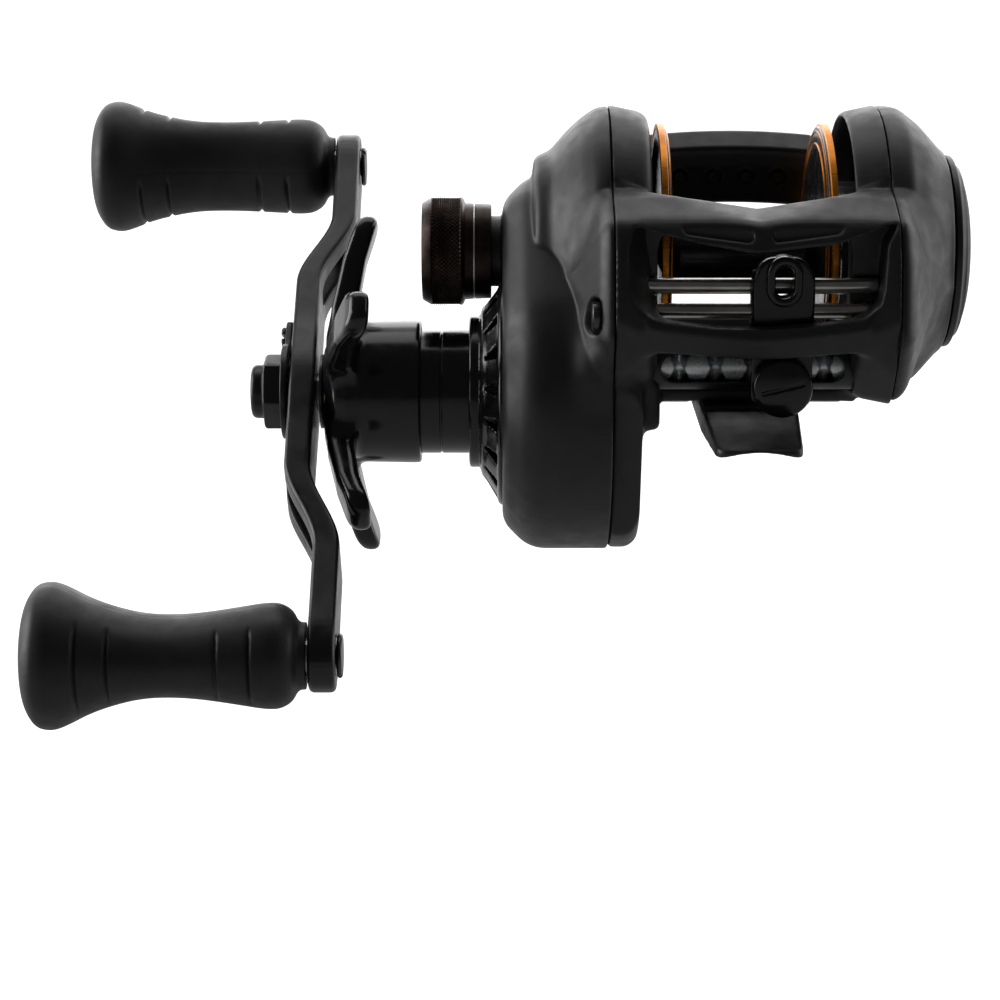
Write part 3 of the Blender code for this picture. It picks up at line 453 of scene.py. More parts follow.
def metal(name, colour, rough, stretch, scratch, metallic=0.85):
    """Machined metal: lines along the direction it was turned or drawn, and a few dull patches."""
    finish = Finish(name)
    lines = finish.noise(2600, 3, 0.7, finish.stretched(stretch))
    darker = tuple(0.72 * c for c in colour)
    finish.colours(finish.noise(260, 4), [(0.35, darker), (0.65, colour)])
    finish.roughness(lines, rough - 0.04, rough + 0.10)
    finish.bump(lines, scratch)
    finish.set(Metallic=metallic)
    return finish.material


def nylon(name, colour):
    finish = Finish(name)
    warmer = (colour[0], 0.94 * colour[1], 0.84 * colour[2])
    finish.colours(finish.noise(300, 3), [(0.35, warmer), (0.65, colour)])
    finish.roughness(finish.noise(900, 3), 0.42, 0.56)
    finish.bump(finish.noise(4000, 2), 0.006)
    finish.set(Subsurface_Weight=0.08, Subsurface_Scale=0.001)
    return finish.material


def woven_carbon(name):
    finish = Finish(name)
    checks = finish.add("ShaderNodeTexChecker")
    checks.inputs["Scale"].default_value = 700
    finish.link(finish.place, checks.inputs["Vector"])
    finish.colours(checks.outputs["Fac"], [(0.0, (0.012, 0.012, 0.012)), (1.0, (0.04, 0.04, 0.042))])
    finish.roughness(finish.noise(1500, 2), 0.55, 0.75)
    finish.bump(checks.outputs["Fac"], 0.02)
    return finish.material


def knurled_bronze(name):
    finish = Finish(name)
    finish.colours(
        finish.noise(500, 4),
        [(0.35, (0.020, 0.013, 0.011)), (0.65, (0.045, 0.028, 0.023))],
    )
    finish.roughness(finish.noise(1400, 3), 0.28, 0.40)
    finish.bump(finish.noise(3800, 2), 0.004)
    finish.set(Metallic=0.85)
    return finish.material


# Dark tone, light tone, roughness and depth of grain.
COATINGS = {
    "body_black": ((0.012, 0.012, 0.013), (0.020, 0.020, 0.022), 0.44, 0.010),
    "gloss_black": ((0.006, 0.006, 0.007), (0.010, 0.010, 0.011), 0.17, 0.002),
    "handle_black": ((0.006, 0.005, 0.005), (0.010, 0.009, 0.009), 0.34, 0.003),
    "grip_black": ((0.010, 0.010, 0.011), (0.016, 0.016, 0.018), 0.50, 0.014),
    "spool_black": ((0.008, 0.008, 0.009), (0.014, 0.013, 0.013), 0.22, 0.002),
}

# Colour, roughness, stretch of the machining lines, their depth and any metallic value of its own.
METALS = {
    "spool_orange": ((0.80, 0.27, 0.03), 0.30, (0.05, 1, 1), 0.001),
    "steel": ((0.62, 0.60, 0.57), 0.16, (0.04, 1, 1), 0.002),
    # This entry is the steel above made lighter and less metallic, so that the worm, which sits in shade,
    # shows bright: painted light.
    "steel_painted_lit": ((0.86, 0.89, 0.92), 0.30, (1, 1, 1), 0.005, 0.6),
    "steel_dark": ((0.10, 0.10, 0.105), 0.28, (1, 1, 1), 0.003),
    "brass": ((0.66, 0.45, 0.19), 0.26, (1, 0.2, 0.2), 0.003),
}

MATERIALS = {name: coated(name, *values) for name, values in COATINGS.items()}
MATERIALS |= {name: metal(name, *values) for name, values in METALS.items()}
MATERIALS["bronze"] = knurled_bronze("bronze")
MATERIALS["nylon"] = nylon("nylon", (0.62, 0.60, 0.53))
MATERIALS["carbon"] = woven_carbon("carbon")


def finished(obj, material, body, *nodes, slot=None):
    """Gives a piece its finish, its body and the CAD nodes that it stands for."""
    obj.data.materials.clear()
    obj.data.materials.append(MATERIALS[material])
    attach(obj, body)
    if nodes:
        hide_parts(*nodes)
    return obj


# ---------------------------------------------------------------- body of the reel


WINDOW = [
    (-18.9, 28.9), (-12.9, 27.6), (-8.6, 26.7), (-0.6, 25.3), (10.1, 26.4), (15.5, 28.3),
    (18.9, 29.2), (17.3, 26.4), (16.9, 20.9), (16.4, 18.5), (14.2, 16.8), (7.5, 15.9),
    (0.7, 15.4), (-6.0, 15.6), (-12.8, 16.4), (-15.2, 17.3), (-16.7, 18.9), (-17.6, 21.0),
    (-18.8, 26.0),
]


def frame_walls(g):
    """Both side walls, and the drum behind the gear housing."""
    x, y, z = g
    outer = PARTING - SEAM
    side = outline_distance(nose_outline(), y[0], z[0])[None]
    sloped = side + 0.2 * np.clip(outer - np.abs(x), 0, 6)
    left_wall = meet(meet(sloped, x + WALL, 2.4), -outer - x, 0.4)
    right_wall = meet(meet(sloped, WALL - x, 2.4), x - outer, 0.4)
    radius = DRUM_R - 0.2
    corners = [(-15.0, 0), (-15.0, 21.4), (-16.4, radius), (-outer, radius), (-outer, 0)]
    drum = turned_field(g, DRIVE, corners, 0.8)
    return np.minimum(merge(left_wall, drum, 1.2), right_wall)


def frame_floor(g):
    """The bed over the foot, the cradle under the spool and the bridge at the rear."""
    _, y, z = g
    bed = meet(between(y, -19.4, 17.4), between(z, 2.9, 5.0), 0.8)
    cradle = meet(np.hypot(y - SPOOL[0], z - SPOOL[1]) - 21.9, z - 4.9, 0.6)
    section = softened([(15.0, 3.4), (17.6, 4.0), (20.3, 8.2), (18.7, 9.4), (15.6, 5.4)], 0.7)
    bridge = outline_distance(section, y[0], z[0])[None]
    return merge(merge(bed, cradle, 0.8), bridge, 0.8)


def frame_head(head, g, span):
    """The front of the frame, with the hood and the lower bar added and the window cut out."""
    x, y, z = g
    off_middle = np.abs(x - FRONT_MIDDLE)
    rise = 2.3 * np.clip(off_middle / 15.0, 0, 1.15)
    hood_section = [
        (-19.6, 29.3), (-20.6, 30.4), (-26.4, 29.3), (-27.4, 28.7),
        (-28.9, 25.6), (-28.2, 24.9), (-26.3, 25.4), (-20.6, 27.6),
    ]
    hood = meet(outline_distance(softened(hood_section, 0.45), y, z - rise), span)
    bar_section = [(-28.2, 16.4), (-30.4, 15.9), (-31.75, 13.9), (-30.6, 11.1), (-28.2, 11.9)]
    bar = meet(outline_distance(softened(bar_section, 0.35), y, z - 0.35 * rise), span)
    head = merge(head, hood, 4.5)
    head = merge(head, bar, 1.5)
    limit = outline_distance(nose_outline(), y, z) - 10 * np.clip(13 - z, 0, None)
    head = meet(head, limit, 0.5)
    ridge = 13.3 + 0.21 * off_middle
    head = meet(head, 0.94 * (-31.5 - y) + 0.34 * (ridge - z), 0.3)
    # The window's left edge leans inwards with depth, so that its bezel shows from the front.
    depth = np.clip((y + 30.4) / 6.4, 0, 1)
    u = np.where(x < 0, x * (1 + 0.26 * depth), x)
    opening = outline_distance(softened(WINDOW, 0.8), u, z)
    head = carve(head, meet(opening, y + 23.2), 0.35)
    for centre, tilt in ((-5.4, -0.13), (6.7, 0.13)):
        along = np.clip(np.abs(x - centre) - 3.9, 0, None)
        across = z - 27.45 - tilt * (x - FRONT_MIDDLE)
        pad = np.hypot(along, across) - 0.9
        head = carve(head, meet(pad, y + 27.4), 0.3)
    return head


def make_frame():
    low, high = (-19.6, -33.2, -22.4), (19.6, 24.8, 43.2)
    g = grid(low, high, BODY_STEP)
    x, y, z = g
    span = between(x, -WALL - 1.5, WALL + 1.5)
    body = merge(frame_walls(g), meet(frame_floor(g), span), 1.6)
    block = meet(between(x, -17.4, -12.6), between(y, -24.5, -12.0), 1.2)
    body = merge(body, meet(block, between(z, -0.2, 8.0), 1.2), 1.2)
    front = int(np.searchsorted(y[0, :, 0], -16.5))
    body[:, :front] = frame_head(body[:, :front], (x, y[:, :front], z), span)

    body = carve(body, rod_field(g, SPOOL, -WALL, 22.0, SPOOL_HOLE_R), 1.0)
    pocket = meet(meet(np.abs(x) - 7.1, np.abs(y) - 24.0), between(z, -2.0, 2.85))
    body = carve(body, pocket, 0.4)
    for axis, x0, x1, radius in (
        (SPOOL, -22.0, -12.0, 5.3),
        (DRIVE, -22.0, -12.0, 4.9),
        (WORM, -22.0, 17.4, 3.7),
        (RODS["guide_rod_upper"], -17.2, 17.2, 1.4),
        (RODS["guide_rod_lower"], -17.2, 17.2, 1.4),
        (FRONT_SCREW, -24.0, -17.0, 1.4),
        (REAR_SCREW, -24.0, -17.0, 1.4),
    ):
        body = carve(body, rod_field(g, axis, x0, x1, radius), 0.25)
    for middle in FOOT_SCREWS_Y:
        hole = meet(np.hypot(x, y - middle) - 1.25, between(z, 2.0, 6.0))
        body = carve(body, hole, 0.2)
    piece = surface("reel_frame", body, low, BODY_STEP, 0.35)
    return finished(piece, "body_black", "reel", "frame")


def housing_outline():
    """The gear housing from the side: a line drawn tight round the drum and the spool's neck."""
    neck_r = 11.0
    gap = Vector(SPOOL) - Vector(DRIVE)
    heading = math.degrees(math.atan2(gap.y, gap.x))
    spread = math.degrees(math.acos((DRUM_R - neck_r) / gap.length))
    top = arc(SPOOL, neck_r, heading - spread, heading + spread, 30)
    drum = arc(DRIVE, DRUM_R, heading + spread, heading - spread + 360, 90)
    return top + drum


def make_gear_cover():
    low, high = (-42.4, -32.8, -22.4), (-18.8, 24.8, 43.2)
    g = grid(low, high, BODY_STEP)
    x, y, z = g
    rim = -PARTING - SEAM
    housing = outline_distance(housing_outline(), y[0], z[0])[None]
    drum = meet(housing, (housing - x - 30.5) / math.sqrt(2), 1.7)
    drum = meet(drum, -34.4 - x, 1.2)
    drum = np.minimum(drum, rod_field(g, DRIVE, -34.4, -30.0, 17.7, 0.3))
    shoulder_profile = [
        (rim + 3, 0), (rim + 3, RING_R), (-20.0, RING_R - 0.15), (-22.9, 19.4), (-25.2, 17.3),
        (-27.6, 14.5), (-29.8, 13.6), (-30.3, 10.0), (-32.6, 8.6), (-33.6, 7.2), (-34.4, 5.1),
        (-35.0, 5.1), (-41.8, 5.1), (-41.8, 0),
    ]
    shoulder = turned_field(g, SPOOL, shoulder_profile, 0.9)
    side = outline_distance(nose_outline(-0.1), y[0], z[0])[None]
    # The nose stands out further the deeper it is inside its outline.
    slope, slant = 0.43, 1.09
    nose = meet(side, (-x - 20.3 + slope * side) / slant, 2.6)
    worm = rod_field(g, WORM, -23.6, rim + 2, 6.7, 3.0)
    cover = meet(merge(nose, shoulder, 2.0), side, 0.8)
    cover = merge(merge(drum, cover, 0.4), worm, 2.5)
    hollow = rod_field(g, DRIVE, -29.3, -10.0, 21.3)
    hollow = np.minimum(hollow, meet(side + 1.8, (-x - 18.5 + slope * side) / slant))
    bell_inside = [
        (-14, 0), (-14, 19.6), (-21.6, 18.6), (-24.8, 14.7),
        (-28.6, 12), (-29.2, 9.6), (-32.3, 6.9), (-32.5, 0),
    ]
    hollow = np.minimum(hollow, turned_field(g, SPOOL, bell_inside))
    hollow = np.minimum(hollow, rod_field(g, WORM, -22.9, -10.0, 5.6))
    cover = carve(cover, hollow)
    cover = carve(cover, rod_field(g, SPOOL, -45.0, -28.0, 3.2), 0.2)
    cover = carve(cover, rod_field(g, DRIVE, -40.0, -28.0, 5.2), 0.2)
    for axis in (FRONT_SCREW, REAR_SCREW):
        recess = np.minimum(
            rod_field(g, axis, -30.0, COVER_SCREW_SEAT, 2.5),
            rod_field(g, axis, -30.0, -10.0, 1.5),
        )
        cover = carve(cover, recess, 0.3)
    cover = meet(cover, x - rim, 0.5)
    piece = surface("gear_cover", cover, low, BODY_STEP, 0.35)
    return finished(piece, "body_black", "reel", "gear_side_cover")


def make_palm_cover():
    low, high = (18.8, -32.8, -1.6), (30.0, 22.6, 43.2)
    g = grid(low, high, BODY_STEP)
    x, y, z = g
    rim = PARTING + SEAM
    dish_profile = [
        (rim - 3, 0), (rim - 3, RING_R), (20.4, RING_R - 0.1), (22.4, 20.3),
        (25.0, 18.6), (28.3, 14.9), (29.1, 14.4), (29.1, 0),
    ]
    dish = turned_field(g, SPOOL, dish_profile, 1.2)
    side = outline_distance(nose_outline(-0.1), y[0], z[0])[None]
    slope, slant = 0.42, 1.085
    nose = meet(side, (x - 20.6 + slope * side) / slant, 2.6)
    cover = meet(merge(dish, nose, 3.0), side, 0.8)
    dish_inside = [(10, 0), (10, 19.6), (21.2, 19.0), (24.0, 17.4), (28.1, 13.2), (28.1, 0)]
    hollow = np.minimum(
        turned_field(g, SPOOL, dish_inside),
        meet(side + 1.8, (x - 18.8 + slope * side) / slant),
    )
    cover = carve(cover, hollow)
    cover = meet(cover, rim - x, 0.5)
    piece = surface("palm_cover", cover, low, BODY_STEP, 0.35)
    return finished(piece, "body_black", "reel", "palm_side_cover")


def make_palm_cap():
    profile = [
        (29.3, 0.0), (29.3, 13.9), (30.2, 13.8), (30.5, 13.0), (30.8, 12.6), (31.2, 12.3),
        (31.3, 11.4), (31.7, 10.7), (32.0, 9.6), (32.2, 8.4), (31.9, 7.6), (31.9, 0.0),
    ]
    cap = lathe("palm_cap_stepped", SPOOL, softened(profile, 0.25, False))
    return finished(cap, "body_black", "reel", "palm_cap")


def make_foot():
    step = 0.25
    low, high = (-7.4, -38.6, -1.8), (7.4, 21.6, 3.2)
    g = grid(low, high, step)
    x, y, z = g
    right = [(5.8, -38.0), (6.7, -22.0), (6.7, 12.0), (5.6, 21.0)]
    outline = softened(right + [(-a, b) for a, b in reversed(right)], 2.2)
    plan = outline_distance(outline, x[:, :, 0], y[:, :, 0])[:, :, None]
    top = 2.55 - 0.15 * np.clip(np.abs(y + 8.5) - 15.5, 0, None)
    foot = meet(plan, between(z, -1.25, top), 0.7)
    foot = carve(foot, np.hypot(x + 0 * y, z + 18.0) - 18.0, 0.5)
    for middle in FOOT_SCREWS_Y:
        radius = np.where(z < 1.6, 2.1, 1.15)
        foot = carve(foot, np.hypot(x, y - middle) - radius, 0.1)
    piece = surface("foot_saddle", foot, low, step, 0.4)
    return finished(piece, "body_black", "reel", "reel_foot")


# ---------------------------------------------------------------- spool, guide and controls


def make_spool():
    profile = [
        (12.2, 16.6), (12.2, 18.0), (11.0, 18.0), (10.8, 16.0), (10.5, 7.0), (9.0, 5.2),
        (-9.0, 5.2), (-10.5, 7.0), (-10.8, 16.0), (-11.0, 18.0), (-12.2, 18.0), (-12.2, 16.6),
    ]
    core = SHAFT_BORE_R + 3.4
    hole = [(-11.5, 16.0), (-10.4, core), (-12.0, SHAFT_BORE_R)]
    hole += [(12.0, SHAFT_BORE_R), (10.4, core), (11.5, 16.0)]
    barrel = lathe("spool_barrel", SPOOL, softened(profile, 0.3, False), hole=hole, sides=128)
    finished(barrel, "spool_black", "spool_body", "spool", slot="spool_orange")
    for end, side in (("gear", -1), ("palm", 1)):
        outside, inside = side * 12.3, side * 11.2
        crown = [(outside, 17.9), (side * 12.25, 18.4), (side * 11.35, 18.4), (inside, 17.9)]
        rim = lathe(
            f"spool_rim_{end}_side",
            SPOOL,
            softened(crown, 0.1, False),
            hole=[(inside, 17.7), (outside, 17.7)],
            sides=160,
        )
        finished(rim, "spool_orange", "spool_body")
        # Two thin raised orange rings on each flange's inner face are painted highlights, standing in for
        # the light caught on the flange fillets.
        for number, (radius, flange_x) in enumerate(((17.1, 10.9), (15.4, 10.74))):
            face = side * flange_x
            raised = face - side * 0.09
            line = lathe(
                f"spool_line_{end}_{number}",
                SPOOL,
                [(face, radius), (raised, radius + 0.04), (raised, radius + 0.22), (face, radius + 0.26)],
                hole=[(face + side * 0.3, radius + 0.26), (face + side * 0.3, radius)],
                sides=160,
            )
            finished(line, "spool_orange", "spool_body")


def make_carriage():
    step = 0.2
    left = CARRIAGE_X - 4.2
    right = CARRIAGE_X + 4.2
    low, high = (left - 0.6, -28.8, 3.4), (right + 0.6, -21.8, 25.4)
    g = grid(low, high, step)
    x, y, z = g
    corners = [
        (left, 3.9), (left, 22.2), (left + 1.6, 24.6),
        (right - 1.6, 24.6), (right, 22.2), (right, 3.9),
    ]
    flat = outline_distance(softened(corners, 1.6), x[:, 0, :], z[:, 0, :])[:, None, :]
    plate = meet(flat, between(y, -27.2, -25.3), 0.5)
    rider = meet(meet(flat, between(y, -26.2, -22.3), 0.6), between(z, 14.6, 22.4), 0.6)
    body = merge(plate, rider, 0.8)
    for axis in RODS.values():
        body = carve(body, np.hypot(y - axis[0], z - axis[1]) - 1.4, 0.2)
    hole = np.hypot(x - CARRIAGE_X, (np.abs(z - EYELET_Z) - 1.0).clip(0)) - 1.7
    body = carve(body, hole, 0.6)
    pawl_hole = meet(np.hypot(x - CARRIAGE_X, z - WORM[1]) - 1.7, between(y, -30, -20))
    body = carve(body, pawl_hole, 0.2)
    piece = surface("guide_carriage", body, low, step, 0.4)
    return finished(piece, "gloss_black", "carriage", "line_guide")


def make_eyelet():
    """The oval ring that the line runs through."""
    step = 0.12
    low, high = (CARRIAGE_X - 3.6, -29.0, 17.2), (CARRIAGE_X + 3.6, -25.0, 25.6)
    x, y, z = grid(low, high, step)
    across = x - CARRIAGE_X
    up = (np.abs(z - EYELET_Z) - 1.0).clip(0)
    ring = np.abs(np.hypot(across, up) - 1.85) - 0.62
    insert = meet(ring, between(y, -28.4, -25.0), 0.7)
    piece = surface("line_eyelet", insert, low, step, 0.35)
    return finished(piece, "gloss_black", "carriage", "line_guide_insert")


def make_pawl_cap():
    step = 0.14
    centre = (CARRIAGE_X, WORM[1] - 1.7)
    low = (centre[0] - 4.6, -30.4, centre[1] - 4.6)
    high = (centre[0] + 4.6, -27.2, centre[1] + 4.6)
    x, y, z = grid(low, high, step)
    radial = np.hypot(x - centre[0], z - centre[1])
    dome = -30.0 + 0.035 * radial**2 - y
    cap = meet(meet(radial - 4.1, y + 27.7), dome, 0.6)
    slot = np.abs((z - centre[1]) - 0.25 * (x - centre[0])) - 0.22
    cap = carve(cap, meet(meet(slot, radial - 2.9), y + 29.55), 0.12)
    piece = surface("pawl_cap_round", cap, low, step, 0.35)
    return finished(piece, "gloss_black", "carriage", "pawl_cap")


def make_worm_housing():
    """The tube round the worm shaft, open along its front where the pawl reaches in."""
    step = 0.16
    low, high = (-15.7, -25.3, 4.9), (15.7, -17.7, 12.5)
    x, y, z = grid(low, high, step)
    radial = np.hypot(y - WORM[0], z - WORM[1])
    tube = meet(np.abs(radial - 3.0) - 0.4, np.abs(x) - 15.3, 0.25)
    slot = np.hypot((np.abs(x) - 10.7).clip(0), z - WORM[1]) - 1.9
    tube = carve(tube, meet(slot, y - WORM[0] + 0.5), 0.2)
    piece = surface("worm_housing", tube, low, step, 0.3)
    return finished(piece, "body_black", "reel", "worm_tube")


def make_worm():
    """The shaft with its two crossing grooves, one of each hand."""
    lead, groove_depth, half_width = 5.0, 0.95, 0.68
    shaft_r = 2.2

    def grooved(x, turns, radius):
        if radius < shaft_r - 0.1 or abs(x) > 13.6:
            return np.full(len(turns), radius)
        depth = np.zeros(len(turns))
        for hand in (-1, 1):
            phase = (x / lead + hand * turns / math.tau) % 1.0
            distance = np.abs(phase - 0.5) * lead
            depth = np.maximum(depth, np.clip(1.0 - (distance / half_width) ** 6, 0, 1))
        return radius - groove_depth * depth

    stations = [(16.9, 1.2), (16.8, 1.3), (15.25, 1.3), (15.2, 2.1), (15.1, shaft_r)]
    stations += [(14.9 - 0.12 * i, shaft_r) for i in range(249)]
    stations += [(-15.1, shaft_r), (-15.2, 2.1), (-15.25, 1.3), (-22.3, 1.3), (-22.4, 1.2)]
    worm = lathe("worm_grooved", WORM, stations, sides=72, shape=grooved, angle=60)
    # The worm takes the lightened steel, its brightness painted in for the shade it sits in.
    return finished(worm, "steel_painted_lit", "worm", "worm_shaft", slot="steel")


def make_rods():
    for name, axis in RODS.items():
        low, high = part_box(name)
        x0, x1 = low.x / MM, high.x / MM
        profile = softened([(x0, 0.0), (x0, 1.1), (x1, 1.1), (x1, 0.0)], 0.2, False)
        rod = lathe(f"{name}_polished", axis, profile, sides=64)
        finished(rod, "steel", "reel", name)


def make_thumb_bar():
    """The bar behind the spool, lower at its ends, with four small rings cut in its front."""
    step = 0.22
    low, high = (-13.4, 16.4, 24.4), (13.4, 24.2, 37.0)
    x, y, z = grid(low, high, step)
    section = [
        (17.0, 33.9), (20.6, 36.2), (23.5, 34.6), (23.0, 30.0),
        (21.9, 25.1), (20.4, 25.1), (19.4, 30.6), (17.9, 32.9),
    ]
    arch = 0.0042 * x**2
    bar = meet(outline_distance(softened(section, 0.6), y, z + arch), np.abs(x) - 12.9, 0.9)
    for x0 in (-7.5, -2.4, 2.6, 7.4):
        radial = np.hypot(x - x0, z - 29.2)
        bar = carve(bar, meet(meet(radial - 1.3, -radial + 0.7), y - 20.7), 0.15)
    piece = surface("thumb_bar_pad", bar, low, step, 0.35)
    return finished(piece, "body_black", "thumb", "thumb_bar")


def make_tension_knob():
    first, last = -40.4, -44.5
    knurl_r, knurl_depth, pitch = 7.8, 0.34, 0.62

    def knurled(x, turns, radius):
        if radius < knurl_r - 0.2 or not last < x < first:
            return np.full(len(turns), radius)
        along = x / pitch
        around = turns * round(math.tau * knurl_r / pitch) / math.tau
        a = np.abs(((along + around) % 1.0) - 0.5)
        b = np.abs(((along - around) % 1.0) - 0.5)
        return radius - knurl_depth * (1 - 2 * np.minimum(a, b))

    outside = [(-36.0, 6.5), (-36.1, 6.8), (-38.3, 6.9), (-38.35, 6.7), (-38.6, 6.7), (-38.65, 6.9)]
    outside += [(-39.8, 7.0), (-40.0, 7.5), (-40.2, 7.75)]
    outside += [(first - 0.15 * i, knurl_r) for i in range(28)]
    outside += [(-44.7, 7.75), (-45.85, 7.1), (-46.0, 6.9), (-46.0, 5.4), (-45.7, 5.1), (-45.7, 0.0)]
    inside = [(-44.4, 0.0), (-44.4, 5.5), (-36.0, 5.5)]
    knob = lathe("tension_knob_knurled", SPOOL, outside, hole=inside, sides=316, shape=knurled, angle=50)
    finished(knob, "bronze", "tension", "tension_knob")
    rows = [(-38.36, 6.7), (-38.4, 6.93), (-38.56, 6.93), (-38.6, 6.7)]
    line = lathe("tension_knob_line", SPOOL, rows, hole=[(-38.6, 6.6), (-38.36, 6.6)])
    # The line ring takes the same lightened steel, with painted brightness.
    finished(line, "steel_painted_lit", "tension", slot="bronze")


# ---------------------------------------------------------------- drag side


def make_tower():
    """The tube between the bell and the star, with a fine groove turned nearer to the star."""
    profile = [
        (-34.7, 8.9), (-39.3, 8.95), (-43.0, 8.95), (-43.05, 8.8),
        (-43.3, 8.8), (-43.35, 8.95), (-46.7, 8.95), (-47.0, 8.6),
    ]
    hole = [(-47.0, 7.6), (-34.7, 7.5)]
    tower = lathe("tower_tube", DRIVE, softened(profile, 0.08, False), hole=hole)
    return finished(tower, "gloss_black", "reel", "clutch_tower")


def make_bell():
    """The stepped bell at the tower's foot, notched all round its flange."""
    step = 0.22
    low, high = (-39.8, -23.0, -16.4), (-34.2, 12.4, 19.0)
    g = grid(low, high, step)
    x, y, z = g
    profile = [
        (-34.2, 0.0), (-34.2, 16.6), (-34.9, 16.3), (-35.2, 15.4), (-36.7, 12.9), (-37.3, 12.2),
        (-37.5, 11.6), (-37.7, 10.9), (-38.2, 11.0), (-39.0, 11.0), (-39.2, 10.6), (-39.2, 0.0),
    ]
    bell = turned_field(g, DRIVE, profile, 0.3)
    radial = np.hypot(y - DRIVE[0], z - DRIVE[1])
    angle = np.arctan2(z - DRIVE[1], y - DRIVE[0])
    notches, shift = 18, 0.81
    turn = ((angle * notches / math.tau - shift) % 1.0 - 0.5) * math.tau / notches * radial
    wedge = np.abs(turn) - 0.95 - 0.45 * (x + 35.2)
    notch = meet(meet(wedge, between(x, -36.9, -35.15)), 12.0 - radial)
    bell = carve(bell, notch, 0.12)
    bell = carve(bell, rod_field(g, DRIVE, -45, -30, 9.25), 0.2)
    bell = carve(bell, rod_field(g, SPOOL, -50, -30, 8.1), 0.4)
    piece = surface("tower_bell_notched", bell, low, step, 0.35)
    return finished(piece, "gloss_black", "reel", "tower_bell")


def make_star():
    step = 0.25
    low, high = (-60.2, -33.0, -26.4), (-45.4, 22.4, 29.0)
    g = grid(low, high, step)
    x, y, z = g
    hub_profile = [
        (-46.1, 0), (-46.1, 10.3), (-47.2, 10.35), (-54.6, 10.2),
        (-56.4, 10.6), (-58.4, 10.0), (-59.4, 8.0), (-59.4, 0),
    ]
    star = turned_field(g, DRIVE, hub_profile, 0.6)
    radial = np.hypot(y - DRIVE[0], z - DRIVE[1])
    angle = np.arctan2(z - DRIVE[1], y - DRIVE[0])
    blade_outline = softened(
        [
            (4, -2.9), (11, -2.5), (17, -2.6), (23.4, -3.4), (25.8, -2.0),
            (25.8, 2.0), (23.4, 3.4), (17, 2.6), (11, 2.5), (4, 2.9),
        ],
        1.3,
    )
    # Turns count from +Y towards +Z, so the first arm stands 22 degrees to the rear of straight up.
    count, first = 5, math.radians(90 - 22)
    arms = None
    for number in range(count):
        direction = first + number * math.tau / count
        along = radial * np.cos(angle - direction)
        across = radial * np.sin(angle - direction)
        blade = outline_distance(blade_outline, along, across)
        middle_x = np.interp(along, [0, 12, 19, 24.6, 26], [-57.4, -57.4, -56.0, -54.2, -53.9])
        half_thick = np.interp(along, [0, 12, 19, 24, 26], [1.9, 1.9, 1.7, 1.6, 1.3])
        arm = meet(blade, np.abs(x - middle_x) - half_thick, 1.3)
        arms = arm if arms is None else np.minimum(arms, arm)
    star = merge(star, arms, 2.4)
    star = carve(star, rod_field(g, DRIVE, -52.0, -45.0, 9.3), 0.4)
    star = carve(star, rod_field(g, DRIVE, -62.0, -45.0, 3.3), 0.4)
    piece = surface("star_wheel", star, low, step, 0.35)
    return finished(piece, "gloss_black", "star", "star_drag")


def arm_matrix():
    """Local x runs along the handle arm, y across it and z along the shaft towards the reel."""
    along = Vector((0.0, math.sin(ARM_TILT), math.cos(ARM_TILT)))
    axial = Vector((1.0, 0.0, 0.0))
    rotation = Matrix((along, axial.cross(along), axial)).transposed().to_4x4()
    return Matrix.Translation(Vector((ARM_MID_X, *DRIVE)) * MM) @ rotation


def knob_axis(side):
    return (
        DRIVE[0] + side * ARM_HALF * math.sin(ARM_TILT),
        DRIVE[1] + side * ARM_HALF * math.cos(ARM_TILT),
    )


def make_arm():
    step = 0.22
    low, high = (-53.4, -7.8, -2.6), (53.4, 7.8, 7.4)
    t, w, h = grid(low, high, step)
    share = np.clip((np.abs(t) - ARM_BEND_FROM) / (ARM_BEND_TO - ARM_BEND_FROM), 0, 1)
    height = (h - ARM_BEND * share * share * (3 - 2 * share)) * 1.03
    half = [
        (0, 6.9), (4.2, 6.5), (9, 5.9), (19, 5.5), (31, 5.0),
        (42, 5.0), (47.4, 5.2), (51.2, 3.7), (52.6, 0),
    ]
    upper = [(a, b) for a, b in reversed(half)] + [(-a, b) for a, b in half[1:]]
    lower = [(a, -b) for a, b in reversed(upper[1:-1])]
    plan = outline_distance(softened(upper + lower, 2.4), t[:, :, 0], w[:, :, 0])[:, :, None]
    arm = meet(plan, np.abs(height) - 0.5 * ARM_THICK, 0.9)
    slot = np.hypot((np.abs(np.abs(t) - 24.0) - 4.0).clip(0), w) - 2.0
    arm = carve(arm, slot, 0.5)
    arm = carve(arm, np.hypot(t, w) - 2.7, 0.3)
    for side in (-1, 1):
        arm = carve(arm, np.hypot(t - side * ARM_HALF, w) - 2.8, 0.4)
    screw_hole = meet(np.hypot(t - LOCK_SCREW_AT, w) - 1.0, h + 0.8 - ARM_THICK * 0.5)
    arm = carve(arm, screw_hole, 0.2)
    piece = surface("crank_arm", arm, low, step, 0.35)
    piece.data.transform(arm_matrix())
    return finished(piece, "handle_black", "handle", "handle_arm")


def hexagon(t, w, flat):
    """How far a point lies past the nearest side of a hexagon with sides flat from its middle."""
    sector = math.pi / 3
    angle = np.arctan2(w, t)
    return np.hypot(t, w) * np.cos(((angle + sector / 2) % sector) - sector / 2) - flat


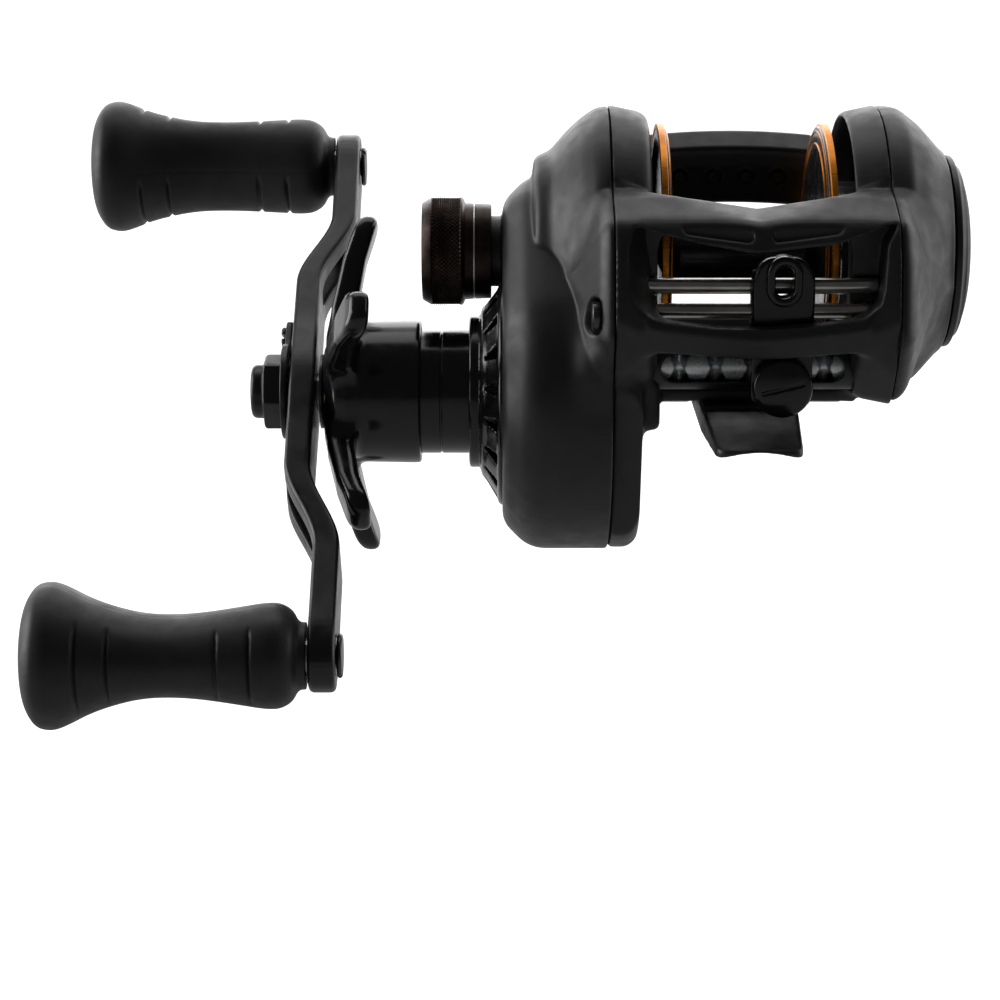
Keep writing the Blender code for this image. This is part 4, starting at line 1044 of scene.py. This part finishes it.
def make_nut():
    step = 0.16
    outer = -0.5 * ARM_THICK
    low, high = (-7.0, -6.4, outer - 6.6), (7.0, 6.4, outer + 0.2)
    t, w, h = grid(low, high, step)
    radial = np.hypot(t, w)
    base = outer - 0.3
    nut = meet(hexagon(t, w, 4.8) + 0 * h, between(h, base - 3.6, base), 0.3)
    nut = meet(nut, radial - 5.25 - (h - base + 3.6) * 1.2, 0.3)
    collar = meet(radial - 3.9, between(h, base - 5.5, base), 1.0)
    nut = merge(nut, collar, 0.4)
    nut = carve(nut, meet(radial - 2.7, h - base - 1), 0.2)
    piece = surface("crank_nut", nut, low, step, 0.4)
    piece.data.transform(arm_matrix())
    return finished(piece, "handle_black", "handle", "handle_nut")


def make_lock_plate():
    """The thin plate round the nut, with a lobe out to its own screw."""
    step = 0.16
    outer = -0.5 * ARM_THICK
    low, high = (-7.6, -7.4, outer - 1.8), (13.6, 7.4, outer + 0.2)
    t, w, h = grid(low, high, step)
    lobe = np.hypot((t - 6.0).clip(0, 4.6) + 0 * w - (t - 6.0), w) - 2.4
    plan = merge(np.hypot(t, w) - 6.9, lobe, 1.5)
    plan = carve(plan, hexagon(t, w, 5.1))
    plate = meet(plan + 0 * h, between(h, outer - 1.3, outer - 0.3), 0.3)
    plate = carve(plate, np.hypot(t - LOCK_SCREW_AT, w) - 1.0, 0.1)
    piece = surface("nut_lock_plate", plate, low, step, 0.4)
    piece.data.transform(arm_matrix())
    return finished(piece, "handle_black", "handle", "nut_retainer")


def slotted_head(name, axis, ends, radii, depth, turn, body, node):
    """A screw with a slot across its head.

    ends are the x of the head's face and of its seat, and radii those of the head and the shank.
    """
    head, seat = ends
    radius, shank = radii
    outward = 1 if head > seat else -1
    step = 0.1
    x_range = sorted((head + outward * 0.4, seat - outward * 0.4))
    low = (x_range[0], axis[0] - radius - 0.5, axis[1] - radius - 0.5)
    high = (x_range[1], axis[0] + radius + 0.5, axis[1] + radius + 0.5)
    g = grid(low, high, step)
    x, y, z = g
    solid = rod_field(g, axis, min(head, seat), max(head, seat), radius, 0.5)
    turned = (y - axis[0]) * math.cos(turn) + (z - axis[1]) * math.sin(turn)
    slot = meet(np.abs(turned) - 0.3, (head - outward * depth - x) * outward)
    solid = carve(solid, slot, 0.08)
    piece = surface(name, solid, low, step, 0.3)
    stem = lathe(f"{name}_stem", axis, [(seat, shank), (seat - outward * 2.8, shank)], sides=32)
    piece = smoothed(joined(name, [piece, stem]))
    return finished(piece, "steel_dark", body, node, slot="steel")


def make_screws():
    seat = COVER_SCREW_SEAT - 0.05
    for end, axis, head, radius, turn in (
        ("front", FRONT_SCREW, -22.3, 2.0, 0.15),
        ("rear", REAR_SCREW, -22.4, 2.1, 0.9),
    ):
        node = f"cover_screw_{end}"
        slotted_head(f"{node}_slotted", axis, (head, seat), (radius, 1.1), 0.8, turn, "reel", node)
    face = ARM_END_INNER + 0.05
    for end, side in (("upper", 1), ("lower", -1)):
        ends, radii = (face + 0.75, face), (3.0, 1.2)
        name, node = f"grip_screw_{end}", f"knob_screw_{end}"
        slotted_head(name, knob_axis(side), ends, radii, 0.45, 0.6 * side, "handle", node)
    along = Vector((math.sin(ARM_TILT), math.cos(ARM_TILT)))
    axis = tuple(Vector(DRIVE) + LOCK_SCREW_AT * along)
    face = ARM_MID_X - 0.5 * ARM_THICK - 1.25
    ends, radii = (face - 0.8, face), (1.6, 0.7)
    slotted_head("lock_plate_screw", axis, ends, radii, 0.45, 1.2, "handle", "retainer_screw")


def make_washers():
    """The washers between the handle arm and the star, dark and then brass."""
    dark = [(-60.8, 5.0), (-60.75, 5.4), (-60.4, 5.4), (-60.35, 5.2), (-60.3, 5.4), (-60.1, 5.3)]
    dark_hole = [(-60.1, 3.1), (-60.8, 3.1)]
    stack = lathe("crank_washers", DRIVE, dark, hole=dark_hole)
    finished(stack, "steel_dark", "handle", "handle_spring_washer", slot="brass")
    brass_rows = [(-60.1, 4.3), (-60.05, 4.5), (-59.85, 4.5), (-59.8, 4.3)]
    brass = lathe("crank_washer_brass", DRIVE, brass_rows, hole=[(-59.8, 3.1), (-60.1, 3.1)])
    finished(brass, "brass", "handle")


def make_grip(name, side, spin, grooves_face, body, node):
    """A soft grip with an oval waist and four grooves across its two broad faces."""
    yz = knob_axis(side)
    near = KNOB_NEAR
    bore_r = 2.8
    curve = [
        (near, 4.5), (near - 1.0, 4.6), (near - 1.8, 6.2), (near - 3.4, 7.2), (near - 5.4, 7.4),
        (near - 9.0, 7.2), (near - 16.0, 6.9), (near - 22.0, 7.0), (near - 28.3, 8.3),
        (near - 32.0, 9.8), (near - 33.8, 10.2), (near - 35.8, 9.7),
        (KNOB_END + 0.5, 7.6), (KNOB_END, 5.0), (KNOB_END, 0.0),
    ]
    smooth = softened(curve, 3.0, False, 8)
    xs = np.array([p[0] for p in smooth])
    rs = np.array([p[1] for p in smooth])
    order = np.argsort(-xs, kind="stable")
    rounding = KNOB_END + 0.6
    stations = list(np.arange(near, rounding, -0.16)) + list(np.arange(rounding, KNOB_END, -0.05))
    profile = [(x, float(np.interp(-x, -xs[order], rs[order]))) for x in stations]
    end_r = profile[-1][1]
    profile += [(KNOB_END, end_r * f) for f in (0.97, 0.8, 0.5, 0.2, 0.0)]
    grooves = (near - 7.2, near - 11.6, near - 25.8, near - 29.8)

    def oval(x, turns, radius):
        if radius <= bore_r + 0.1:
            return np.full(len(turns), radius)
        depth = min(1.0, max(0.0, (x - near) / (KNOB_END - near)))
        a = radius * (1.0 - 0.22 * math.sin(math.pi * depth) ** 2)
        wide = radius * np.cos(turns - spin)
        narrow = a * np.sin(turns - spin)
        shaped = a * radius / np.sqrt(wide**2 + narrow**2)
        cut = sum(0.42 * math.exp(-(((x - groove) / 0.26) ** 2)) for groove in grooves)
        facing = np.clip((np.abs(np.cos(turns - grooves_face)) - 0.6) / 0.25, 0, 1)
        seam = 0.05 * np.exp(-((np.abs(np.sin(turns - spin)) * radius / 0.10) ** 2))
        return shaped - cut * facing * facing * (3 - 2 * facing) - seam

    hole = [(-93.0, 0.0), (-93.0, bore_r), (near, bore_r)]
    grip = lathe(f"grip_{name}", yz, profile, hole=hole, sides=144, shape=oval, angle=60)
    return finished(grip, "grip_black", body, node)


# ---------------------------------------------------------------- CAD pieces that stay


def finish_cad_pieces():
    """The CAD nodes that are still shown get their slot's finish."""
    slots = {row["node"]: row["material_slot"] for row in frame["record"]["subparts"]}
    for name, obj in frame["nodes"].items():
        if obj.hide_render:
            continue
        look = slots[name]
        if not obj.material_slots:
            obj.data.materials.append(MATERIALS[look])
        for material_slot in obj.material_slots:
            material_slot.material = MATERIALS[look]


# ---------------------------------------------------------------- camera, light and floor


def make_camera():
    down = math.radians(15)
    distance, above = 0.371, 0.0362
    target = Vector((-0.03475, 0.0, 0.021))
    up = Vector((0.0, math.sin(down), math.cos(down)))
    forward = Vector((0.0, math.cos(down), -math.sin(down)))
    data = bpy.data.cameras.new("camera")
    data.sensor_width = 36.0
    data.lens = 91.8
    data.clip_start = 0.01
    data.clip_end = 50.0
    camera = bpy.data.objects.new("camera", data)
    place = target - up * above - forward * distance
    axes = Matrix((Vector((1, 0, 0)), up, -forward)).transposed().to_4x4()
    camera.matrix_world = Matrix.Translation(place) @ axes
    bpy.context.scene.collection.objects.link(camera)
    bpy.context.scene.camera = camera


def area_light(name, place, aim, size, power):
    data = bpy.data.lights.new(name, "AREA")
    data.shape = "RECTANGLE"
    data.size, data.size_y = size
    data.energy = power
    light = bpy.data.objects.new(name, data)
    direction = Vector(aim) - Vector(place)
    light.location = place
    light.rotation_euler = direction.to_track_quat("-Z", "Y").to_euler()
    bpy.context.scene.collection.objects.link(light)


def camera_sees(tree, seen_value, other_value):
    """seen_value where the camera looks straight at the backdrop, other_value for reflections."""
    path = tree.nodes.new("ShaderNodeLightPath")
    choice = tree.nodes.new("ShaderNodeMix")
    choice.data_type = "FLOAT"
    tree.links.new(path.outputs["Is Camera Ray"], choice.inputs["Factor"])
    choice.inputs["B"].default_value = seen_value
    tree.links.new(other_value, choice.inputs["A"])
    return choice.outputs["Result"]


def eased_range(tree, value, start, end, low, high):
    node = tree.nodes.new("ShaderNodeMapRange")
    node.interpolation_type = "SMOOTHSTEP"
    for name, number in zip(("From Min", "From Max", "To Min", "To Max"), (start, end, low, high)):
        node.inputs[name].default_value = number
    tree.links.new(value, node.inputs["Value"])
    return node.outputs["Result"]


def make_studio():
    centre = (-0.03, 0.0, 0.01)
    area_light("top_softbox", (-0.03, 0.30, 0.80), centre, (0.9, 0.4), 1.3)
    area_light("left_softbox", (-0.85, 0.10, 0.20), centre, (0.6, 0.7), 5.0)
    area_light("right_softbox", (0.80, 0.25, 0.25), centre, (0.5, 0.7), 1.7)
    area_light("back_softbox", (0.0, 0.9, 0.35), centre, (1.4, 0.7), 5.0)

    world = bpy.data.worlds.new("studio")
    bpy.context.scene.world = world
    world.use_nodes = True
    tree = world.node_tree
    background = tree.nodes["Background"]
    background.inputs["Color"].default_value = (1.0, 1.0, 1.0, 1)
    direction = tree.nodes.new("ShaderNodeTexCoord")
    parts = tree.nodes.new("ShaderNodeSeparateXYZ")
    tree.links.new(direction.outputs["Generated"], parts.inputs["Vector"])
    behind = eased_range(tree, parts.outputs["Y"], 0.0, 0.9, 0.05, 0.9)
    tree.links.new(camera_sees(tree, 1.0, behind), background.inputs["Strength"])

    mesh = bpy.data.meshes.new("floor")
    reach = 9.0
    level = -0.11
    corners = [(-reach, -reach), (reach, -reach), (reach, reach), (-reach, reach)]
    mesh.from_pydata([(a, b, level) for a, b in corners], [], [(0, 1, 2, 3)])
    floor = bpy.data.objects.new("floor", mesh)
    bpy.context.scene.collection.objects.link(floor)
    finish = Finish("floor_pale")
    tree = finish.tree
    finish.colours(finish.noise(3, 3), [(0.3, (0.30, 0.30, 0.30)), (0.7, (0.32, 0.32, 0.32))])
    finish.roughness(finish.noise(40, 3), 0.7, 0.8)
    finish.set(Emission_Color=(1, 1, 1, 1), Specular_IOR_Level=0.1)
    place = tree.nodes.new("ShaderNodeSeparateXYZ")
    finish.link(finish.place, place.inputs["Vector"])
    behind = eased_range(tree, place.outputs["Y"], -0.1, 0.6, 0.09, 0.6)
    finish.link(camera_sees(tree, 1.0, behind), finish.shader.inputs["Emission Strength"])
    floor.data.materials.append(finish.material)
    bpy.context.scene.view_settings.view_transform = "Standard"


# ---------------------------------------------------------------- the reel

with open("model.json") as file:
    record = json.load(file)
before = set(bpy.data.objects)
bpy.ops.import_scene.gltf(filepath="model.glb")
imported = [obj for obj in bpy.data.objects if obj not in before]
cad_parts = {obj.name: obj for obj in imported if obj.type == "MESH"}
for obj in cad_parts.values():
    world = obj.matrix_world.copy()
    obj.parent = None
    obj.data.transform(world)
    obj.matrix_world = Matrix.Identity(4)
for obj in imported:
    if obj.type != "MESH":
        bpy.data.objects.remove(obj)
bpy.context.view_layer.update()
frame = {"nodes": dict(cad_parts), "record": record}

make_camera()
make_studio()
make_frame()
make_gear_cover()
make_palm_cover()
make_palm_cap()
make_foot()
make_spool()
make_rods()
make_carriage()
make_eyelet()
make_pawl_cap()
make_worm_housing()
make_worm()
make_thumb_bar()
make_tension_knob()
make_tower()
make_bell()
make_star()
make_arm()
make_nut()
make_lock_plate()
make_screws()
make_washers()
make_grip("upper", 1, 0.0, math.radians(235), "upper_knob", "knob_upper")
make_grip("lower", -1, math.pi / 2, math.pi, "lower_knob", "knob_lower")
finish_cad_pieces()
